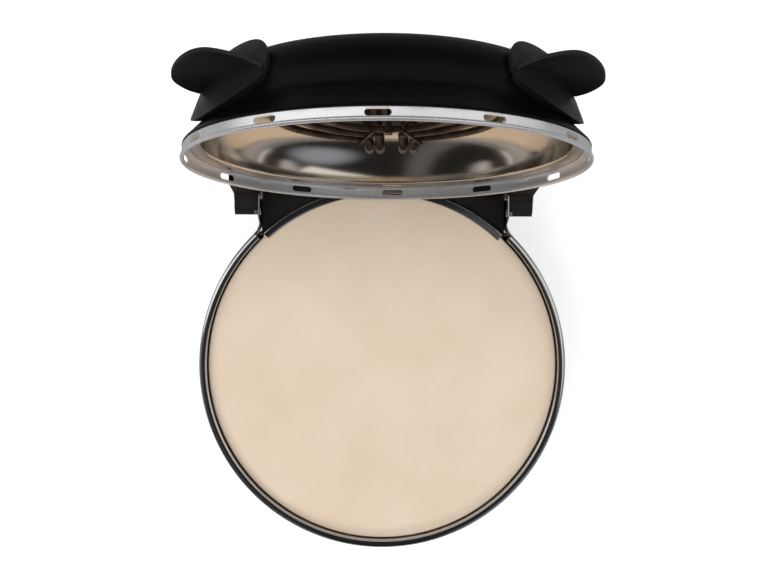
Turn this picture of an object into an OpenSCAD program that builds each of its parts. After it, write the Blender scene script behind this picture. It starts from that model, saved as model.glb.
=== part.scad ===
// Electric pizza maker: a round clam-shell oven with a ceramic stone and a hinged lid.
// The lid is drawn open. The origin is on the table, under the middle of the whole outline,
// +X is to the user's right, -Y is the front and +Z is up.
// Every part is drawn about the middle of the stone and then moved forward by origin_y.
// Base parts are drawn with the stone's top at zero and then lifted by stone_top.
// Lid parts are drawn with the lid's lower edge at zero, its crown up and its front at -Y.

/* [Stone and rim] */
// Diameter of the baking stone
stone_d = 310; // [290:1:330]
// Thickness of the baking stone
stone_t = 12; // [9:0.5:13]
// Gap between the stone and the rim
stone_gap = 1; // [0.5:0.1:2]
// Width of the steel rim, seen from above
rim_w = 6.5; // [6:0.1:9]
// Height of the rim above the stone
rim_rise = 9.7; // [8:0.1:12]
// Depth of the rim below the stone's top
rim_drop = 16; // [14:0.5:18]
// Thickness of the rim's steel
sheet_t = 1.2; // [0.8:0.1:1.6]
// Width of the guard strip behind the stone
guard_w = 7; // [5:0.5:9]

/* [Base] */
// Depth of the base pan below the stone's top
pan_depth = 70; // [66:1:80]
// Wall of the base pan
pan_wall = 1.6; // [1.2:0.1:2.4]
// How far the pan draws in from its rim to its lower edge
pan_tuck = 33; // [28:1:38]
// Thickness of the bottom plate
plate_t = 1.3; // [1:0.1:2]
// Height of a foot with its pad
foot_h = 12.6; // [11:0.2:18]
// Radius of a foot
foot_r = 12; // [11:0.5:14]
// Distance of the feet from the middle
foot_place = 108; // [104:1:110]
// Thickness of the plastic housing walls
wall_t = 2.4; // [2:0.1:3]
// Bore of the cord gland
gland_bore = 7.2; // [6:0.2:8]

/* [Hinge] */
// Angle of the open lid
open_angle = 96; // [90:0.1:98]
// Half distance over the outer faces of the straps
strap_x = 110; // [100:1:112]
// Distance of the hinge axis in from the lid band
hinge_inset = 6; // [5:0.5:7]
// Height of the hinge axis above the lid's lower edge
hinge_lift = 5; // [4:0.5:6]
// Diameter of the hinge pins
pin_d = 8; // [6:0.5:9]
// Width of a hinge arm
arm_w = 20.5; // [18:0.5:24]
// Radius of the arm's knuckle
knuckle_r = 11; // [10:0.5:12]

/* [Lid] */
// Height of the steel band that shows below the dome
band_h = 10.2; // [9:0.2:12]
// Thickness of the band's steel
band_t = 0.9; // [0.7:0.1:1.2]
// Radius of the rolled edge of the band
bead_r = 1.7; // [1.4:0.1:1.9]
// Number of slots in the band
slot_n = 12; // [6:1:16]
// Length of a slot
slot_l = 18.5; // [10:0.5:24]
// Height of a slot
slot_h = 5; // [3:0.5:6]
// Height of the middle of the slots above the lid's edge
slot_rise = 5.9; // [5:0.1:7]
// Turn of the band, reflector and elements about the lid's middle
band_turn = 2.9; // [0:0.1:8]
// How far the dome's foot flares out from its waist
flare = 16.2; // [14:0.2:18]
// Radius of the bend between the flare and the waist
flare_bend = 14; // [8:0.5:16]
// Radius of the dome's shoulder
shoulder_r = 31; // [28:0.5:34]
// Height of the middle of the shoulder above the lid's edge
shoulder_w = 41.2; // [38:0.2:44]
// Slope of the crown where it meets the shoulder, in degrees
crown_slope = 14; // [12:0.5:15]
// Thickness of the dome
dome_t = 1.2; // [0.8:0.1:1.6]
// How much higher the edge of the reflector's bowl lies than its flange
mirror_step = 2.1; // [0:0.1:4]
// Radius of the reflector's shoulder
mirror_shoulder = 42; // [38:0.5:44]

/* [Heating elements] */
// Diameter of the heating tubes
tube_d = 6; // [5:0.2:6.6]
// Radius of the lid's outer loop
outer_loop_r = 90; // [88:0.5:94]
// Radius of the lid's middle loop
middle_loop_r = 70; // [68:0.5:72]
// Radius of the lid's inner loop
inner_loop_r = 50; // [48:0.5:52]
// Height of the lid's elements above the lid's edge
lid_tube_w = 40; // [37:0.5:42]
// Radius of the lower loop
lower_loop_r = 105; // [98:0.5:108]
// Depth of the lower loop below the stone's top
lower_tube_z = 21; // [20:0.2:21.6]

/* [Handles] */
// Front end of the handle's saddle, in degrees from the front
saddle_front = 35.2; // [32:0.2:38]
// Thickness of the saddle
saddle_t = 4; // [3:0.2:5]
// Height above the lid's edge below which the saddle leans away from the dome
saddle_lean = 46; // [42:0.5:48]
// Thickness of the wing
wing_t = 3; // [2.4:0.1:4]
// Reach of the wing beyond the dome's waist
wing_reach = 37.7; // [32:0.1:42]

/* [Controls] */
// Diameter of the control knob
knob_d = 33; // [28:0.5:36]
// Depth of the control knob
knob_depth = 14; // [12:0.5:16]
// Depth of the knob's axis below the stone's top
knob_z = 42; // [41:0.5:44]
// Width of the control panel
panel_w = 96; // [84:1:100]
// Diameter of the thermostat shaft
shaft_d = 6; // [5:0.5:7]
// Diameter of a pilot lens
lens_d = 7; // [6:0.5:9]

/* [Hidden] */
$fn = 96;

// clearances
fit = 0.05;        // running and locating fits, on the radius
seat = 0.1;        // between stacked pieces
gap = 0.3;         // between neighbours with no fit
hole_gap = 0.15;   // screws in clearance holes, on the radius
lid_gap = 0.3;     // between the closed lid and the rim

// stone, rim and pan
stone_r = stone_d/2;
rim_in = stone_r + stone_gap;
rim_out = rim_in + rim_w;
rim_round = 3;
inner_skirt = 10;
pan_r = rim_out - sheet_t - 0.5;
pan_lip = -3;
pan_straight = rim_drop + 4;
pan_arc = (pow(pan_tuck, 2) + pow(pan_depth - pan_straight, 2))/(2*pan_tuck);
pan_end = asin((pan_depth - pan_straight)/pan_arc);
pan_foot = pan_r - pan_tuck;
flange_w = 10;
plate_top = -pan_depth - seat;
plate_bottom = plate_top - plate_t;
stone_top = foot_h - plate_bottom;
// the middle of the outline, front panel to open lid, lies this far behind the stone's middle
origin_y = 41.22;

// lid, in its own frame
band_r = rim_in + 1.6;
bead_out = band_r + 1.6;
edge_r = band_r + 0.2;
edge_w = band_h + 1.8;
waist_r = edge_r - flare;
waist_w = edge_w + flare + flare_bend*tan(22.5);
shoulder_c = waist_r - shoulder_r;
shoulder_end = 90 - crown_slope;
crown_r = shoulder_r + shoulder_c/sin(crown_slope);
crown_w = shoulder_w - shoulder_c/tan(crown_slope);
mirror_edge = edge_r - dome_t - gap;
mirror_r = edge_r - 14.8;
mirror_w = band_h + seat + mirror_step;
mirror_t = 0.8;
mirror_c = mirror_r - mirror_shoulder;
mirror_crown = mirror_shoulder + mirror_c/sin(crown_slope);
mirror_crown_w = mirror_w - mirror_c/tan(crown_slope);

// hinge, seen from the side as [y, z]
lid_plane = rim_rise + lid_gap;
pivot_y = band_r - hinge_inset;
pivot_w = hinge_lift;
pivot_z = lid_plane + hinge_lift;
arm_x = strap_x + 0.5;
bend_r = 15;
bend = [strap_x + bend_r, sqrt(pow(rim_out + bend_r, 2) - pow(strap_x + bend_r, 2))];
bend_a = atan2(bend.y, bend.x);
nose_r = 10.7;
nose = [-9.1, -4];
stud_r = 2.2;
stud_y = -17.6;
stud = [stud_y, nose[1] + sqrt(pow(nose_r + stud_r + gap, 2) - pow(stud_y - nose[0], 2))];
stud_turn = norm(stud);
stud_l = 3;

// lower oven
tray_flange = -stone_t - 0.2;
tray_t = 0.8;
tray_lip = stone_r - 8;
tray_r = stone_r - 27;
tray_floor = -lower_tube_z - tube_d/2 - 5.2;
tray_under = tray_floor - tray_t;
tube_r = tube_d/2;
ball_r = tube_r + 0.15;
leg_turn = 8;
leg_r = 4.4;
post_place = 92;

// controls
face_y = -(stone_r - 3);
panel_h = 38;
panel_top = -knob_z + panel_h/2;
panel_depth = 14;
lens_x = panel_w/2 - 15;

// rear housing
house_x = strap_x - sheet_t - gap;
house_y = rim_out + 9.5;
house_z = -1;
house_low = -46;
cover_y = stone_r - 13.5;
guard_r = stone_r + 2.5;
guard_turn = asin((strap_x - 3.4)/guard_r);
gland_x = 70;
gland_z = -24;
screw_y = [cover_y - 1, pivot_y + 3];
screw_z = -11;

// points on an arc, as a list
function arc(c, r, a0, a1, n) =
    [for (i = [0:n]) let (a = a0 + (a1 - a0)*i/n) c + r*[cos(a), sin(a)]];
function reverse(p) = [for (i = [len(p)-1:-1:0]) p[i]];
// outline of the dome as [r, w], moved out by d: a flared foot, a waist, a shoulder and a crown
function dome_line(d) = concat(
    [[edge_r + d, band_h + seat], [edge_r + d, edge_w + d*tan(22.5)]],
    arc([waist_r + flare_bend, waist_w], flare_bend - d, 225, 180, 8),
    arc([shoulder_c, shoulder_w], shoulder_r + d, 0, shoulder_end, 20),
    arc([0, crown_w], crown_r + d, shoulder_end + 1.25, 90, 9));
// outline of the reflector as [r, w], moved out by d
function mirror_line(d, a0 = 0) = concat(
    arc([mirror_c, mirror_w], mirror_shoulder + d, a0, shoulder_end, 16),
    arc([0, mirror_crown_w], mirror_crown + d, shoulder_end + 1.25, 90, 9));
// outline of the pan as [r, z], moved in by d
function pan_line(d) = concat([[pan_r - d, pan_lip]],
    arc([pan_r - pan_arc, -pan_straight], pan_arc - d, 0, -pan_end, 20));
// a smooth curve through the points p, with u from 0 to 1
function curve(p, u) = let (
    n = len(p) - 1, k = min(floor(u*n), n - 1), f = u*n - k,
    a = p[max(k - 1, 0)], b = p[k], c = p[k + 1], d = p[min(k + 2, n)])
    (2*b + (c - a)*f + (2*a - 5*b + 4*c - d)*f*f + (3*b - a - 3*c + d)*f*f*f)/2;
function turned(p, a) = [p[0]*cos(a) - p[1]*sin(a), p[0]*sin(a) + p[1]*cos(a)];

// placing
module on_table() translate([0, -origin_y, 0]) children();
module on_base() on_table() translate([0, 0, stone_top]) children();
module on_lid() on_base()
    translate([0, pivot_y, pivot_z]) rotate([-open_angle, 0, 0])
    translate([0, -pivot_y, -pivot_w]) children();
module in_band() on_lid() rotate(-band_turn) children();
module from_front(a) rotate(a - 90) children();
module from_back(a) rotate(90 - a) children();
module both_sides() {
    children();
    mirror([1, 0, 0]) children();
}
module ring_at(angles) for (a = angles) rotate(a) children();
// cylinder along X from x0 to x1, with its middle at [y, z]
module rod_x(x0, x1, p, r) translate([x0, p[0], p[1]]) rotate([0, 90, 0])
    cylinder(r = r, h = x1 - x0);
// cylinder along Y from y0 to y1, with its middle at [x, z]
module rod_y(y0, y1, p, r) translate([p[0], y0, p[1]]) rotate([-90, 0, 0])
    cylinder(r = r, h = y1 - y0);
module rod_z(z0, z1, r) translate([0, 0, z0]) cylinder(r = r, h = z1 - z0);
module shell(p) rotate_extrude() polygon(p);
// part ring of round tube, from the angle a0 through the angle a
module tube_arc(loop_r, r, a0, a) rotate(a0) rotate_extrude(angle = a)
    translate([loop_r, 0]) circle(r);

// stone and rim
module stone() on_base() color([0.87, 0.8, 0.7])
    shell([[0, 0], [stone_r - 1.5, 0], [stone_r, -1.5], [stone_r, -stone_t + 2],
           [stone_r - 2, -stone_t], [0, -stone_t]]);

module rim_section() {
    corner = [rim_out - rim_round, rim_rise - rim_round];
    polygon(concat(
        [[rim_in, -inner_skirt], [rim_in, rim_rise - 0.8], [rim_in + 0.8, rim_rise]],
        arc(corner, rim_round, 90, 0, 8),
        [[rim_out, -rim_drop], [rim_out - sheet_t, -rim_drop]],
        arc(corner, rim_round - sheet_t, 0, 90, 6),
        [[rim_in + sheet_t, rim_rise - sheet_t], [rim_in + sheet_t, -inner_skirt]]));
}

// the strap seen from above: a bend out of the rim and a straight run to the hinge
module strap_path() {
    translate([strap_x - sheet_t, bend.y - 0.5])
        square([sheet_t, pivot_y + 10 - bend.y]);
    // the bend is a little thinner, so that it ends inside the rim's wall
    intersection() {
        translate(bend) difference() {
            circle(bend_r + sheet_t - seat);
            circle(bend_r + seat);
        }
        polygon([bend, bend - [2*bend_r, 0], bend - [2*bend_r, 2*bend_r*tan(bend_a + 4)]]);
    }
}

// the strap seen from the side: low beside the rim, high round the stud and the pin
module strap_side() {
    top = pivot_z + pin_d/2 + 5.5;
    back = pivot_y + pin_d/2 + 5.5;
    polygon([[bend.y - 30, -rim_drop], [back, -rim_drop], [back, pivot_z], [pivot_y, top],
             [pivot_y + stud[0] - 4, top], [pivot_y + stud[0] - 9, rim_rise],
             [bend.y - 30, rim_rise]]);
    translate([pivot_y, pivot_z]) circle(pin_d/2 + 5.5);
}

module rim_band() on_base() color([0.8, 0.8, 0.82]) {
    rotate(180 - bend_a) rotate_extrude(angle = 180 + 2*bend_a) rim_section();
    both_sides() difference() {
        intersection() {
            translate([0, 0, -rim_drop]) linear_extrude(rim_drop + pivot_z + 20)
                strap_path();
            translate([strap_x - 5, 0, 0]) rotate([90, 0, 90]) linear_extrude(bend_r + 10)
                strap_side();
        }
        rod_x(strap_x - 5, strap_x + 5, [pivot_y, pivot_z], pin_d/2 + fit);
        rod_x(strap_x - 5, strap_x + 5, [pivot_y + stud[0], pivot_z + stud[1]], stud_r + fit);
        for (y = screw_y) rod_x(strap_x - 5, strap_x + 5, [y, screw_z], 2 + hole_gap);
    }
}

module guard_strip() on_base() color([0.5, 0.5, 0.52])
    rotate(90 - guard_turn) rotate_extrude(angle = 2*guard_turn)
    polygon([[guard_r - guard_w, 0.6], [guard_r - guard_w, 1.5], [guard_r - guard_w + 1, 2.2],
             [guard_r - 1.4, 3.5], [guard_r, 2.8], [guard_r, -8], [guard_r - 1, -8],
             [guard_r - 1, 2.2], [guard_r - 1.8, 2.4], [guard_r - guard_w + 1.2, 1.1],
             [guard_r - guard_w + 1, 0.6]]);

// base
module panel_window(d) translate([-panel_w/2 - d, face_y - 20, panel_top - panel_h - d])
    cube([panel_w + 2*d, 60, panel_h + 2*d]);

module base_pan() on_base() color([0.12, 0.12, 0.13]) difference() {
    shell(concat(pan_line(0),
        [[pan_foot - flange_w, -pan_depth], [pan_foot - flange_w, -pan_depth + pan_wall]],
        reverse([for (p = pan_line(pan_wall)) if (p.y > -pan_depth + pan_wall) p])));
    panel_window(gap);
    translate([-house_x - gap, 60, house_low - gap])
        cube([2*(house_x + gap), 150, pan_depth]);
    ring_at([0:90:270]) translate([pan_foot - flange_w/2, 0, 0])
        rod_z(-pan_depth - 5, -pan_depth + 10, 1.6 + fit);
}

module bottom_plate() on_base() color([0.6, 0.6, 0.62]) difference() {
    rod_z(plate_bottom, plate_top, pan_foot - 3);
    at_feet() rod_z(plate_bottom - 1, plate_top + 1, 2 + hole_gap);
    ring_at([0:90:270]) translate([pan_foot - flange_w/2, 0, 0])
        rod_z(plate_bottom - 1, plate_top + 1, 1.6 + hole_gap);
    ring_at([45:90:315]) translate([post_place, 0, 0])
        rod_z(plate_bottom - 1, plate_top + 1, 1.5 + hole_gap);
    for (x = [-42:12:42]) translate([x - 2, -30, plate_bottom - 1])
        cube([4, 60, plate_t + 2]);
}

module plate_screws() on_base() color("silver") ring_at([0:90:270])
    translate([pan_foot - flange_w/2, 0, 0]) {
        rod_z(plate_bottom - seat - 1.8, plate_bottom - seat, 3.2);
        rod_z(plate_bottom - seat - 1, -pan_depth + 5, 1.6);
    }

// the rear feet stand further back than to the side, because the open lid weighs on them
module at_feet() for (a = [50, 130, 230, 310]) rotate(a)
    translate([foot_place, 0, 0]) children();

pad_t = 3;
pad_show = 1;
module feet() on_table() color([0.1, 0.1, 0.1]) at_feet() difference() {
    shell([[0, pad_show], [foot_r - 2, pad_show], [foot_r, foot_h - seat], [0, foot_h - seat]]);
    rod_z(0, pad_t + seat, foot_r - 3.4 + fit);
    rod_z(0, pad_t + 3, 4.2);
    rod_z(0, foot_h + 1, 2 + hole_gap);
}
module foot_pads() on_table() color([0.2, 0.2, 0.2]) at_feet() rod_z(0, pad_t, foot_r - 3.4);
module foot_screws() on_table() color("silver") at_feet() {
    rod_z(pad_t + 0.5, pad_t + 3 - seat, 4);
    rod_z(pad_t + 1, foot_h + plate_t + 5, 2);
}
module foot_nuts() on_table() color("silver") at_feet() difference() {
    translate([0, 0, foot_h + plate_t + seat]) cylinder(r = 4, h = 3.2, $fn = 6);
    rod_z(foot_h, foot_h + plate_t + 6, 2 + fit);
}

// lower oven
module lower_reflector() on_base() color([0.75, 0.75, 0.76]) difference() {
    shell([[0, tray_floor], [tray_r, tray_floor], [tray_lip, tray_flange - tray_t],
           [tray_lip + 0.3, tray_flange], [stone_r, tray_flange],
           [stone_r, tray_flange - tray_t], [tray_lip + 1.2, tray_flange - tray_t],
           [tray_r + 0.4, tray_under], [0, tray_under]]);
    for (s = [-1, 1]) from_back(s*leg_turn) translate([lower_loop_r, 0, 0])
        rod_z(tray_under - 1, tray_floor + 1, leg_r + fit);
    ring_at([45:90:315]) translate([post_place, 0, 0])
        rod_z(tray_under - 1, tray_floor + 1, 1.5 + hole_gap);
    from_front(0) translate([sensor_out, 0, 0]) rod_z(tray_under - 5, 0, 2);
}

module tray_posts() on_base() color("silver") ring_at([45:90:315])
    translate([post_place, 0, 0]) difference() {
        rod_z(plate_top + seat, tray_under - seat, 4.5);
        rod_z(plate_top - 1, tray_under + 1, 1.5 + fit);
    }

module tray_screws() on_base() color("silver") ring_at([45:90:315])
    translate([post_place, 0, 0]) {
        rod_z(tray_floor + seat, tray_floor + 2, 3.2);
        rod_z(tray_floor - 16, tray_floor + 1, 1.5);
        rod_z(plate_bottom - 1.9, plate_bottom - seat, 3.2);
        rod_z(plate_bottom - 1, plate_top + 12, 1.5);
    }

module lower_element() on_base() color([0.35, 0.25, 0.2]) {
    translate([0, 0, -lower_tube_z]) tube_arc(lower_loop_r, tube_r, 90 + leg_turn, 360 - 2*leg_turn);
    for (s = [-1, 1]) from_back(s*leg_turn) translate([lower_loop_r, 0, 0]) {
        rod_z(tray_under - 12, -lower_tube_z, tube_r);
        translate([0, 0, -lower_tube_z]) sphere(ball_r);
    }
}

module lower_clips() on_base() color("silver") for (a = [50, -50, 160]) from_back(a)
    difference() {
        translate([lower_loop_r - 6, -1.5, tray_floor + seat])
            cube([12, 3, -lower_tube_z + tube_r + 1.5 - tray_floor - seat]);
        translate([0, 0, -lower_tube_z]) tube_arc(lower_loop_r, tube_r + fit, -5, 10);
    }

module lower_terminals() on_base() color("white") for (s = [-1, 1]) from_back(s*leg_turn)
    translate([lower_loop_r, 0, 0]) difference() {
        union() {
            rod_z(tray_under - 9, tray_floor + 1.5, leg_r);
            rod_z(tray_under - 3, tray_under - seat, leg_r + 2);
        }
        rod_z(tray_under - 13, tray_floor + 3, tube_r + fit);
    }

module lower_insulation() on_base() color([0.85, 0.85, 0.8]) difference() {
    rod_z(tray_under - 6, tray_under - seat, post_place - 8);
    rod_z(tray_under - 8, tray_under + 1, 32);
}

module thermal_cutout() on_base() color([0.15, 0.15, 0.15]) {
    rod_z(tray_under - 9, tray_under - 1, 8);
    translate([-14, -5, tray_under - 1]) cube([28, 10, 1 - seat]);
    for (s = [-1, 1]) translate([s*4 - 1.5, -0.4, tray_under - 16]) cube([3, 0.8, 7]);
}

sensor_y = 62;
sensor_out = 112;
sensor_z = tray_floor + 3.4;
module sensor_tube() on_base() color([0.75, 0.5, 0.35]) {
    rod_x(-25, 25, [-sensor_y, sensor_z], 2.5);
    for (x = [-18, 15]) difference() {
        translate([x, -sensor_y - 4, tray_floor + seat]) cube([3, 8, 6.6]);
        rod_x(x - 1, x + 4, [-sensor_y, sensor_z], 2.5 + fit);
    }
    rod_y(-sensor_out, -sensor_y, [0, sensor_z], 1);
    translate([0, -sensor_out, sensor_z]) sphere(1);
    translate([0, -sensor_out, 0]) rod_z(-knob_z, sensor_z, 1);
    translate([0, -sensor_out, -knob_z]) sphere(1);
    rod_y(face_y + 27.3, -sensor_out, [0, -knob_z], 1);
}

// rear housing
module rear_housing() on_base() color([0.13, 0.13, 0.14]) difference() {
    translate([-house_x, 80, house_low]) cube([2*house_x, house_y - 80, house_z - house_low]);
    // room inside
    difference() {
        translate([-house_x + wall_t, 70, house_low + wall_t])
            cube([2*(house_x - wall_t), house_y - wall_t - 70, house_z - house_low - 2*wall_t]);
        cover_posts(4);
    }
    // room for the stone and the tray above, and for the pan below
    rod_z(-22, 1, guard_r + 0.5);
    rod_z(house_low - 1, -22, pan_r - 10);
    // opening under the rear cover
    translate([-house_x - 1, cover_y, house_z - wall_t - seat])
        cube([2*house_x + 2, house_y, wall_t + 2]);
    cover_posts(1.5 + fit);
    rod_y(house_y - 5, house_y + 1, [gland_x, gland_z], gland_bore/2 + 3.4 + fit);
    for (y = screw_y) rod_x(-house_x - 1, house_x + 1, [y, screw_z], 2 + fit);
}

module cover_posts(r) both_sides() translate([house_x - 11, pivot_y + 9, 0])
    rod_z(house_low + 1, house_z - wall_t - seat, r);

module rear_cover() on_base() color([0.13, 0.13, 0.14]) difference() {
    translate([-house_x, cover_y + 0.8, house_z - wall_t])
        cube([2*house_x, house_y - cover_y - 0.8, wall_t]);
    rod_z(-22, 1, guard_r + 0.5);
    both_sides() translate([house_x - 11, pivot_y + 9, 0]) {
        rod_z(house_z - 5, house_z + 1, 1.5 + hole_gap);
        rod_z(house_z - 1.2, house_z + 1, 3.2);
    }
}

module cover_screws() on_base() color("silver") both_sides()
    translate([house_x - 11, pivot_y + 9, 0]) {
        rod_z(house_z - 1.2 + seat, house_z, 3);
        rod_z(house_z - 14, house_z - 0.5, 1.5);
    }

module cord_gland() on_base() color([0.1, 0.1, 0.1]) difference() {
    union() {
        rod_y(house_y + seat, house_y + 4, [gland_x, gland_z], gland_bore/2 + 6);
        rod_y(house_y - wall_t - 5, house_y + 1, [gland_x, gland_z], gland_bore/2 + 3.4);
        rod_y(house_y - wall_t - 4, house_y - wall_t - seat, [gland_x, gland_z], gland_bore/2 + 6);
    }
    rod_y(house_y - 20, house_y + 20, [gland_x, gland_z], gland_bore/2);
}

module terminal_block() on_base() color([0.9, 0.9, 0.85])
    translate([20, pivot_y, house_low + wall_t + seat]) difference() {
        cube([42, 12, 13]);
        for (i = [0:3]) translate([6 + 10*i, 6, 0]) rod_z(8, 14, 2);
    }

// the leads lie on the bottom plate, between the posts and the feet's nuts
lead_r = 1.3;
module base_leads() on_base() color([0.75, 0.1, 0.1]) for (i = [0, 1])
    translate([0, 0, plate_top + seat + lead_r])
        tube_arc(post_place + 6.6 + 3*i, lead_r, -84, 165);

// hinge
module strap_screws() on_base() color("silver") both_sides() for (y = screw_y) {
    rod_x(strap_x + seat, strap_x + 1.8, [y, screw_z], 3.5);
    rod_x(house_x - 8, strap_x + 1, [y, screw_z], 2);
}

module hinge_pins() on_base() color("silver") both_sides() difference() {
    union() {
        rod_x(strap_x - sheet_t - 2.6, strap_x - sheet_t - seat, [pivot_y, pivot_z], pin_d/2 + 2.5);
        rod_x(strap_x - sheet_t - 1, arm_x + arm_w - 3, [pivot_y, pivot_z], pin_d/2);
    }
    rod_x(strap_x - 10, arm_x + arm_w, [pivot_y, pivot_z], pin_d/2 - 1.6);
}

module hinge_washers() on_base() color("silver") both_sides() difference() {
    rod_x(strap_x + 0.08, arm_x - 0.08, [pivot_y, pivot_z], pin_d/2 + 3.6);
    rod_x(strap_x - 1, arm_x + 1, [pivot_y, pivot_z], pin_d/2 + fit);
}

module stop_studs() on_base() color("silver") both_sides() {
    rod_x(strap_x - sheet_t - 1.2, strap_x + stud_l, [pivot_y + stud[0], pivot_z + stud[1]], stud_r);
    rod_x(strap_x - sheet_t - 1.2, strap_x - sheet_t - seat,
          [pivot_y + stud[0], pivot_z + stud[1]], stud_r + 1);
}

// controls
module control_panel() on_base() color([0.1, 0.1, 0.1]) difference() {
    translate([-panel_w/2, face_y, panel_top - panel_h]) cube([panel_w, panel_depth, panel_h]);
    translate([-panel_w/2 + wall_t, face_y + wall_t, panel_top - panel_h + wall_t])
        cube([panel_w - 2*wall_t, panel_depth, panel_h - 2*wall_t]);
    rod_y(face_y - 1, face_y + 5, [0, -knob_z], shaft_d/2 + 2.2);
    for (x = [-11, 11]) rod_y(face_y - 1, face_y + 5, [x, -knob_z], 1.5 + hole_gap);
    for (x = [-lens_x, lens_x]) rod_y(face_y - 1, face_y + 5, [x, -knob_z], lens_d/2 + fit);
}

module thermostat() on_base() color([0.8, 0.8, 0.75]) difference() {
    union() {
        translate([-16, face_y + wall_t + seat, -knob_z - 8]) cube([32, 24, 16]);
        rod_y(face_y + 0.2, face_y + wall_t + 1, [0, -knob_z], shaft_d/2 + 2);
    }
    rod_y(face_y - 1, face_y + 16, [0, -knob_z], shaft_d/2 + fit);
    for (x = [-11, 11]) rod_y(face_y, face_y + 10, [x, -knob_z], 1.5 + fit);
}

module thermostat_screws() on_base() color("silver") for (x = [-11, 11]) {
    rod_y(face_y - 1.5, face_y - seat, [x, -knob_z], 2.6);
    rod_y(face_y - 1, face_y + 9, [x, -knob_z], 1.5);
}

module lens(x) {
    rod_y(face_y - 1.6, face_y - seat, [x, -knob_z], lens_d/2 + 1.2);
    rod_y(face_y - 1, face_y + wall_t + 1, [x, -knob_z], lens_d/2);
}
module power_lens() on_base() color([0.8, 0.1, 0.08]) lens(-lens_x);
module ready_lens() on_base() color([0.1, 0.6, 0.2]) lens(lens_x);
module lamp_holders() on_base() color([0.9, 0.9, 0.85]) for (x = [-lens_x, lens_x])
    difference() {
        rod_y(face_y + wall_t + seat, face_y + 20, [x, -knob_z], lens_d/2 + 2);
        rod_y(face_y, face_y + 16, [x, -knob_z], lens_d/2 + fit);
    }

knob_back = face_y - 2;
module thermostat_shaft() on_base() color("silver")
    rod_y(knob_back - knob_depth + 4, face_y + 15, [0, -knob_z], shaft_d/2);

module control_knob() on_base() color([0.1, 0.1, 0.1]) difference() {
    union() {
        rod_y(knob_back - 5, knob_back, [0, -knob_z], knob_d/2);
        rod_y(knob_back - knob_depth + 3, knob_back - 4, [0, -knob_z], knob_d/2 - 4);
        translate([-4.5, knob_back - knob_depth, -knob_z - knob_d/2 + 3])
            cube([9, knob_depth - 3, knob_d - 6]);
    }
    rod_y(knob_back - knob_depth + 3.8, knob_back + 1, [0, -knob_z], shaft_d/2 + fit);
    rod_y(knob_back - 2, knob_back + 1, [0, -knob_z], knob_d/2 - 2);
    translate([-0.6, knob_back - knob_depth - 1, -knob_z + 4]) cube([1.2, 1.6, knob_d]);
}

// lid
module lid_dome() on_lid() color([0.1, 0.1, 0.11]) difference() {
    shell(concat(dome_line(0), reverse(dome_line(-dome_t))));
    both_handles() rod_z(shoulder_r - 8, shoulder_r + 4, 2 + hole_gap);
    at_arm_screws() rod_z(-4, 2, 2 + hole_gap);
}

module lid_band() in_band() color([0.82, 0.82, 0.83]) difference() {
    union() {
        rotate_extrude() {
            translate([band_r - band_t, bead_r]) square([band_t, band_h - bead_r]);
            translate([band_r - 6, band_h - band_t]) square([6, band_t]);
        }
        translate([0, 0, bead_r]) tube_arc(bead_out - bead_r, bead_r, 0, 360);
    }
    for (i = [0:slot_n - 1]) from_back(360*i/slot_n) slot();
}

module slot() translate([0, 0, slot_rise]) {
    reach = (slot_l - slot_h)/2;
    translate([band_r - 4, -reach, -slot_h/2]) cube([6, 2*reach, slot_h]);
    for (s = [-1, 1]) rod_x(band_r - 4, band_r + 2, [s*reach, 0], slot_h/2);
}

module lid_reflector() in_band() color([0.8, 0.8, 0.8]) difference() {
    low = band_h + seat;
    bend_at = band_r - 7;
    shell(concat([[mirror_edge, low], [bend_at, low]], mirror_line(0),
        reverse(mirror_line(mirror_t)), [[mirror_r + mirror_t, mirror_w + mirror_t],
        [bend_at, low + mirror_t], [mirror_edge, low + mirror_t]]));
    at_bushings() rod_z(leg_end - 20, mirror_edge, bushing_r + fit);
}

module lid_insulation() in_band() color([0.85, 0.82, 0.7]) {
    a0 = asin((lid_tube_w + bushing_r + 1 - mirror_w)/mirror_shoulder);
    shell(concat(mirror_line(1.2, a0), reverse(mirror_line(7, a0))));
}

// the four places where the elements leave through the back of the reflector
bushing_r = 4;
inner_leg = 10;
outer_leg = 19;
bushing_l = 9.4;
leg_end = waist_r - dome_t - 7;
module at_bushings() for (x = [-outer_leg, -inner_leg, inner_leg, outer_leg])
    translate([x, 0, lid_tube_w]) rotate([-90, 0, 0]) children();

module element_leg(x, loop) {
    start = sqrt(pow(loop, 2) - pow(x, 2));
    for (s = [-1, 1]) translate([s*x, 0, 0]) {
        rod_y(start, leg_end, [0, 0], tube_r);
        translate([0, start, 0]) sphere(ball_r);
    }
}

module outer_element() in_band() color([0.35, 0.22, 0.16]) translate([0, 0, lid_tube_w]) {
    a = asin(outer_leg/outer_loop_r);
    tube_arc(outer_loop_r, tube_r, 90 + a, 360 - 2*a);
    element_leg(outer_leg, outer_loop_r);
}

// the inner element runs out along the middle loop, turns back near the front
// and closes along the inner loop
turn_at = 16;
turn_r = (middle_loop_r - inner_loop_r)/2;
module inner_element() in_band() color([0.35, 0.22, 0.16]) translate([0, 0, lid_tube_w]) {
    a = asin(inner_leg/middle_loop_r);
    for (s = [0, 1]) mirror([s, 0, 0]) tube_arc(middle_loop_r, tube_r, -90 + turn_at,
        180 - turn_at - a);
    tube_arc(inner_loop_r, tube_r, -90 + turn_at, 360 - 2*turn_at);
    both_sides() from_front(turn_at) translate([inner_loop_r + turn_r, 0, 0]) {
        tube_arc(turn_r, tube_r, 180, 180);
        for (x = [-turn_r, turn_r]) translate([x, 0, 0]) sphere(ball_r);
    }
    element_leg(inner_leg, middle_loop_r);
}

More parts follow.
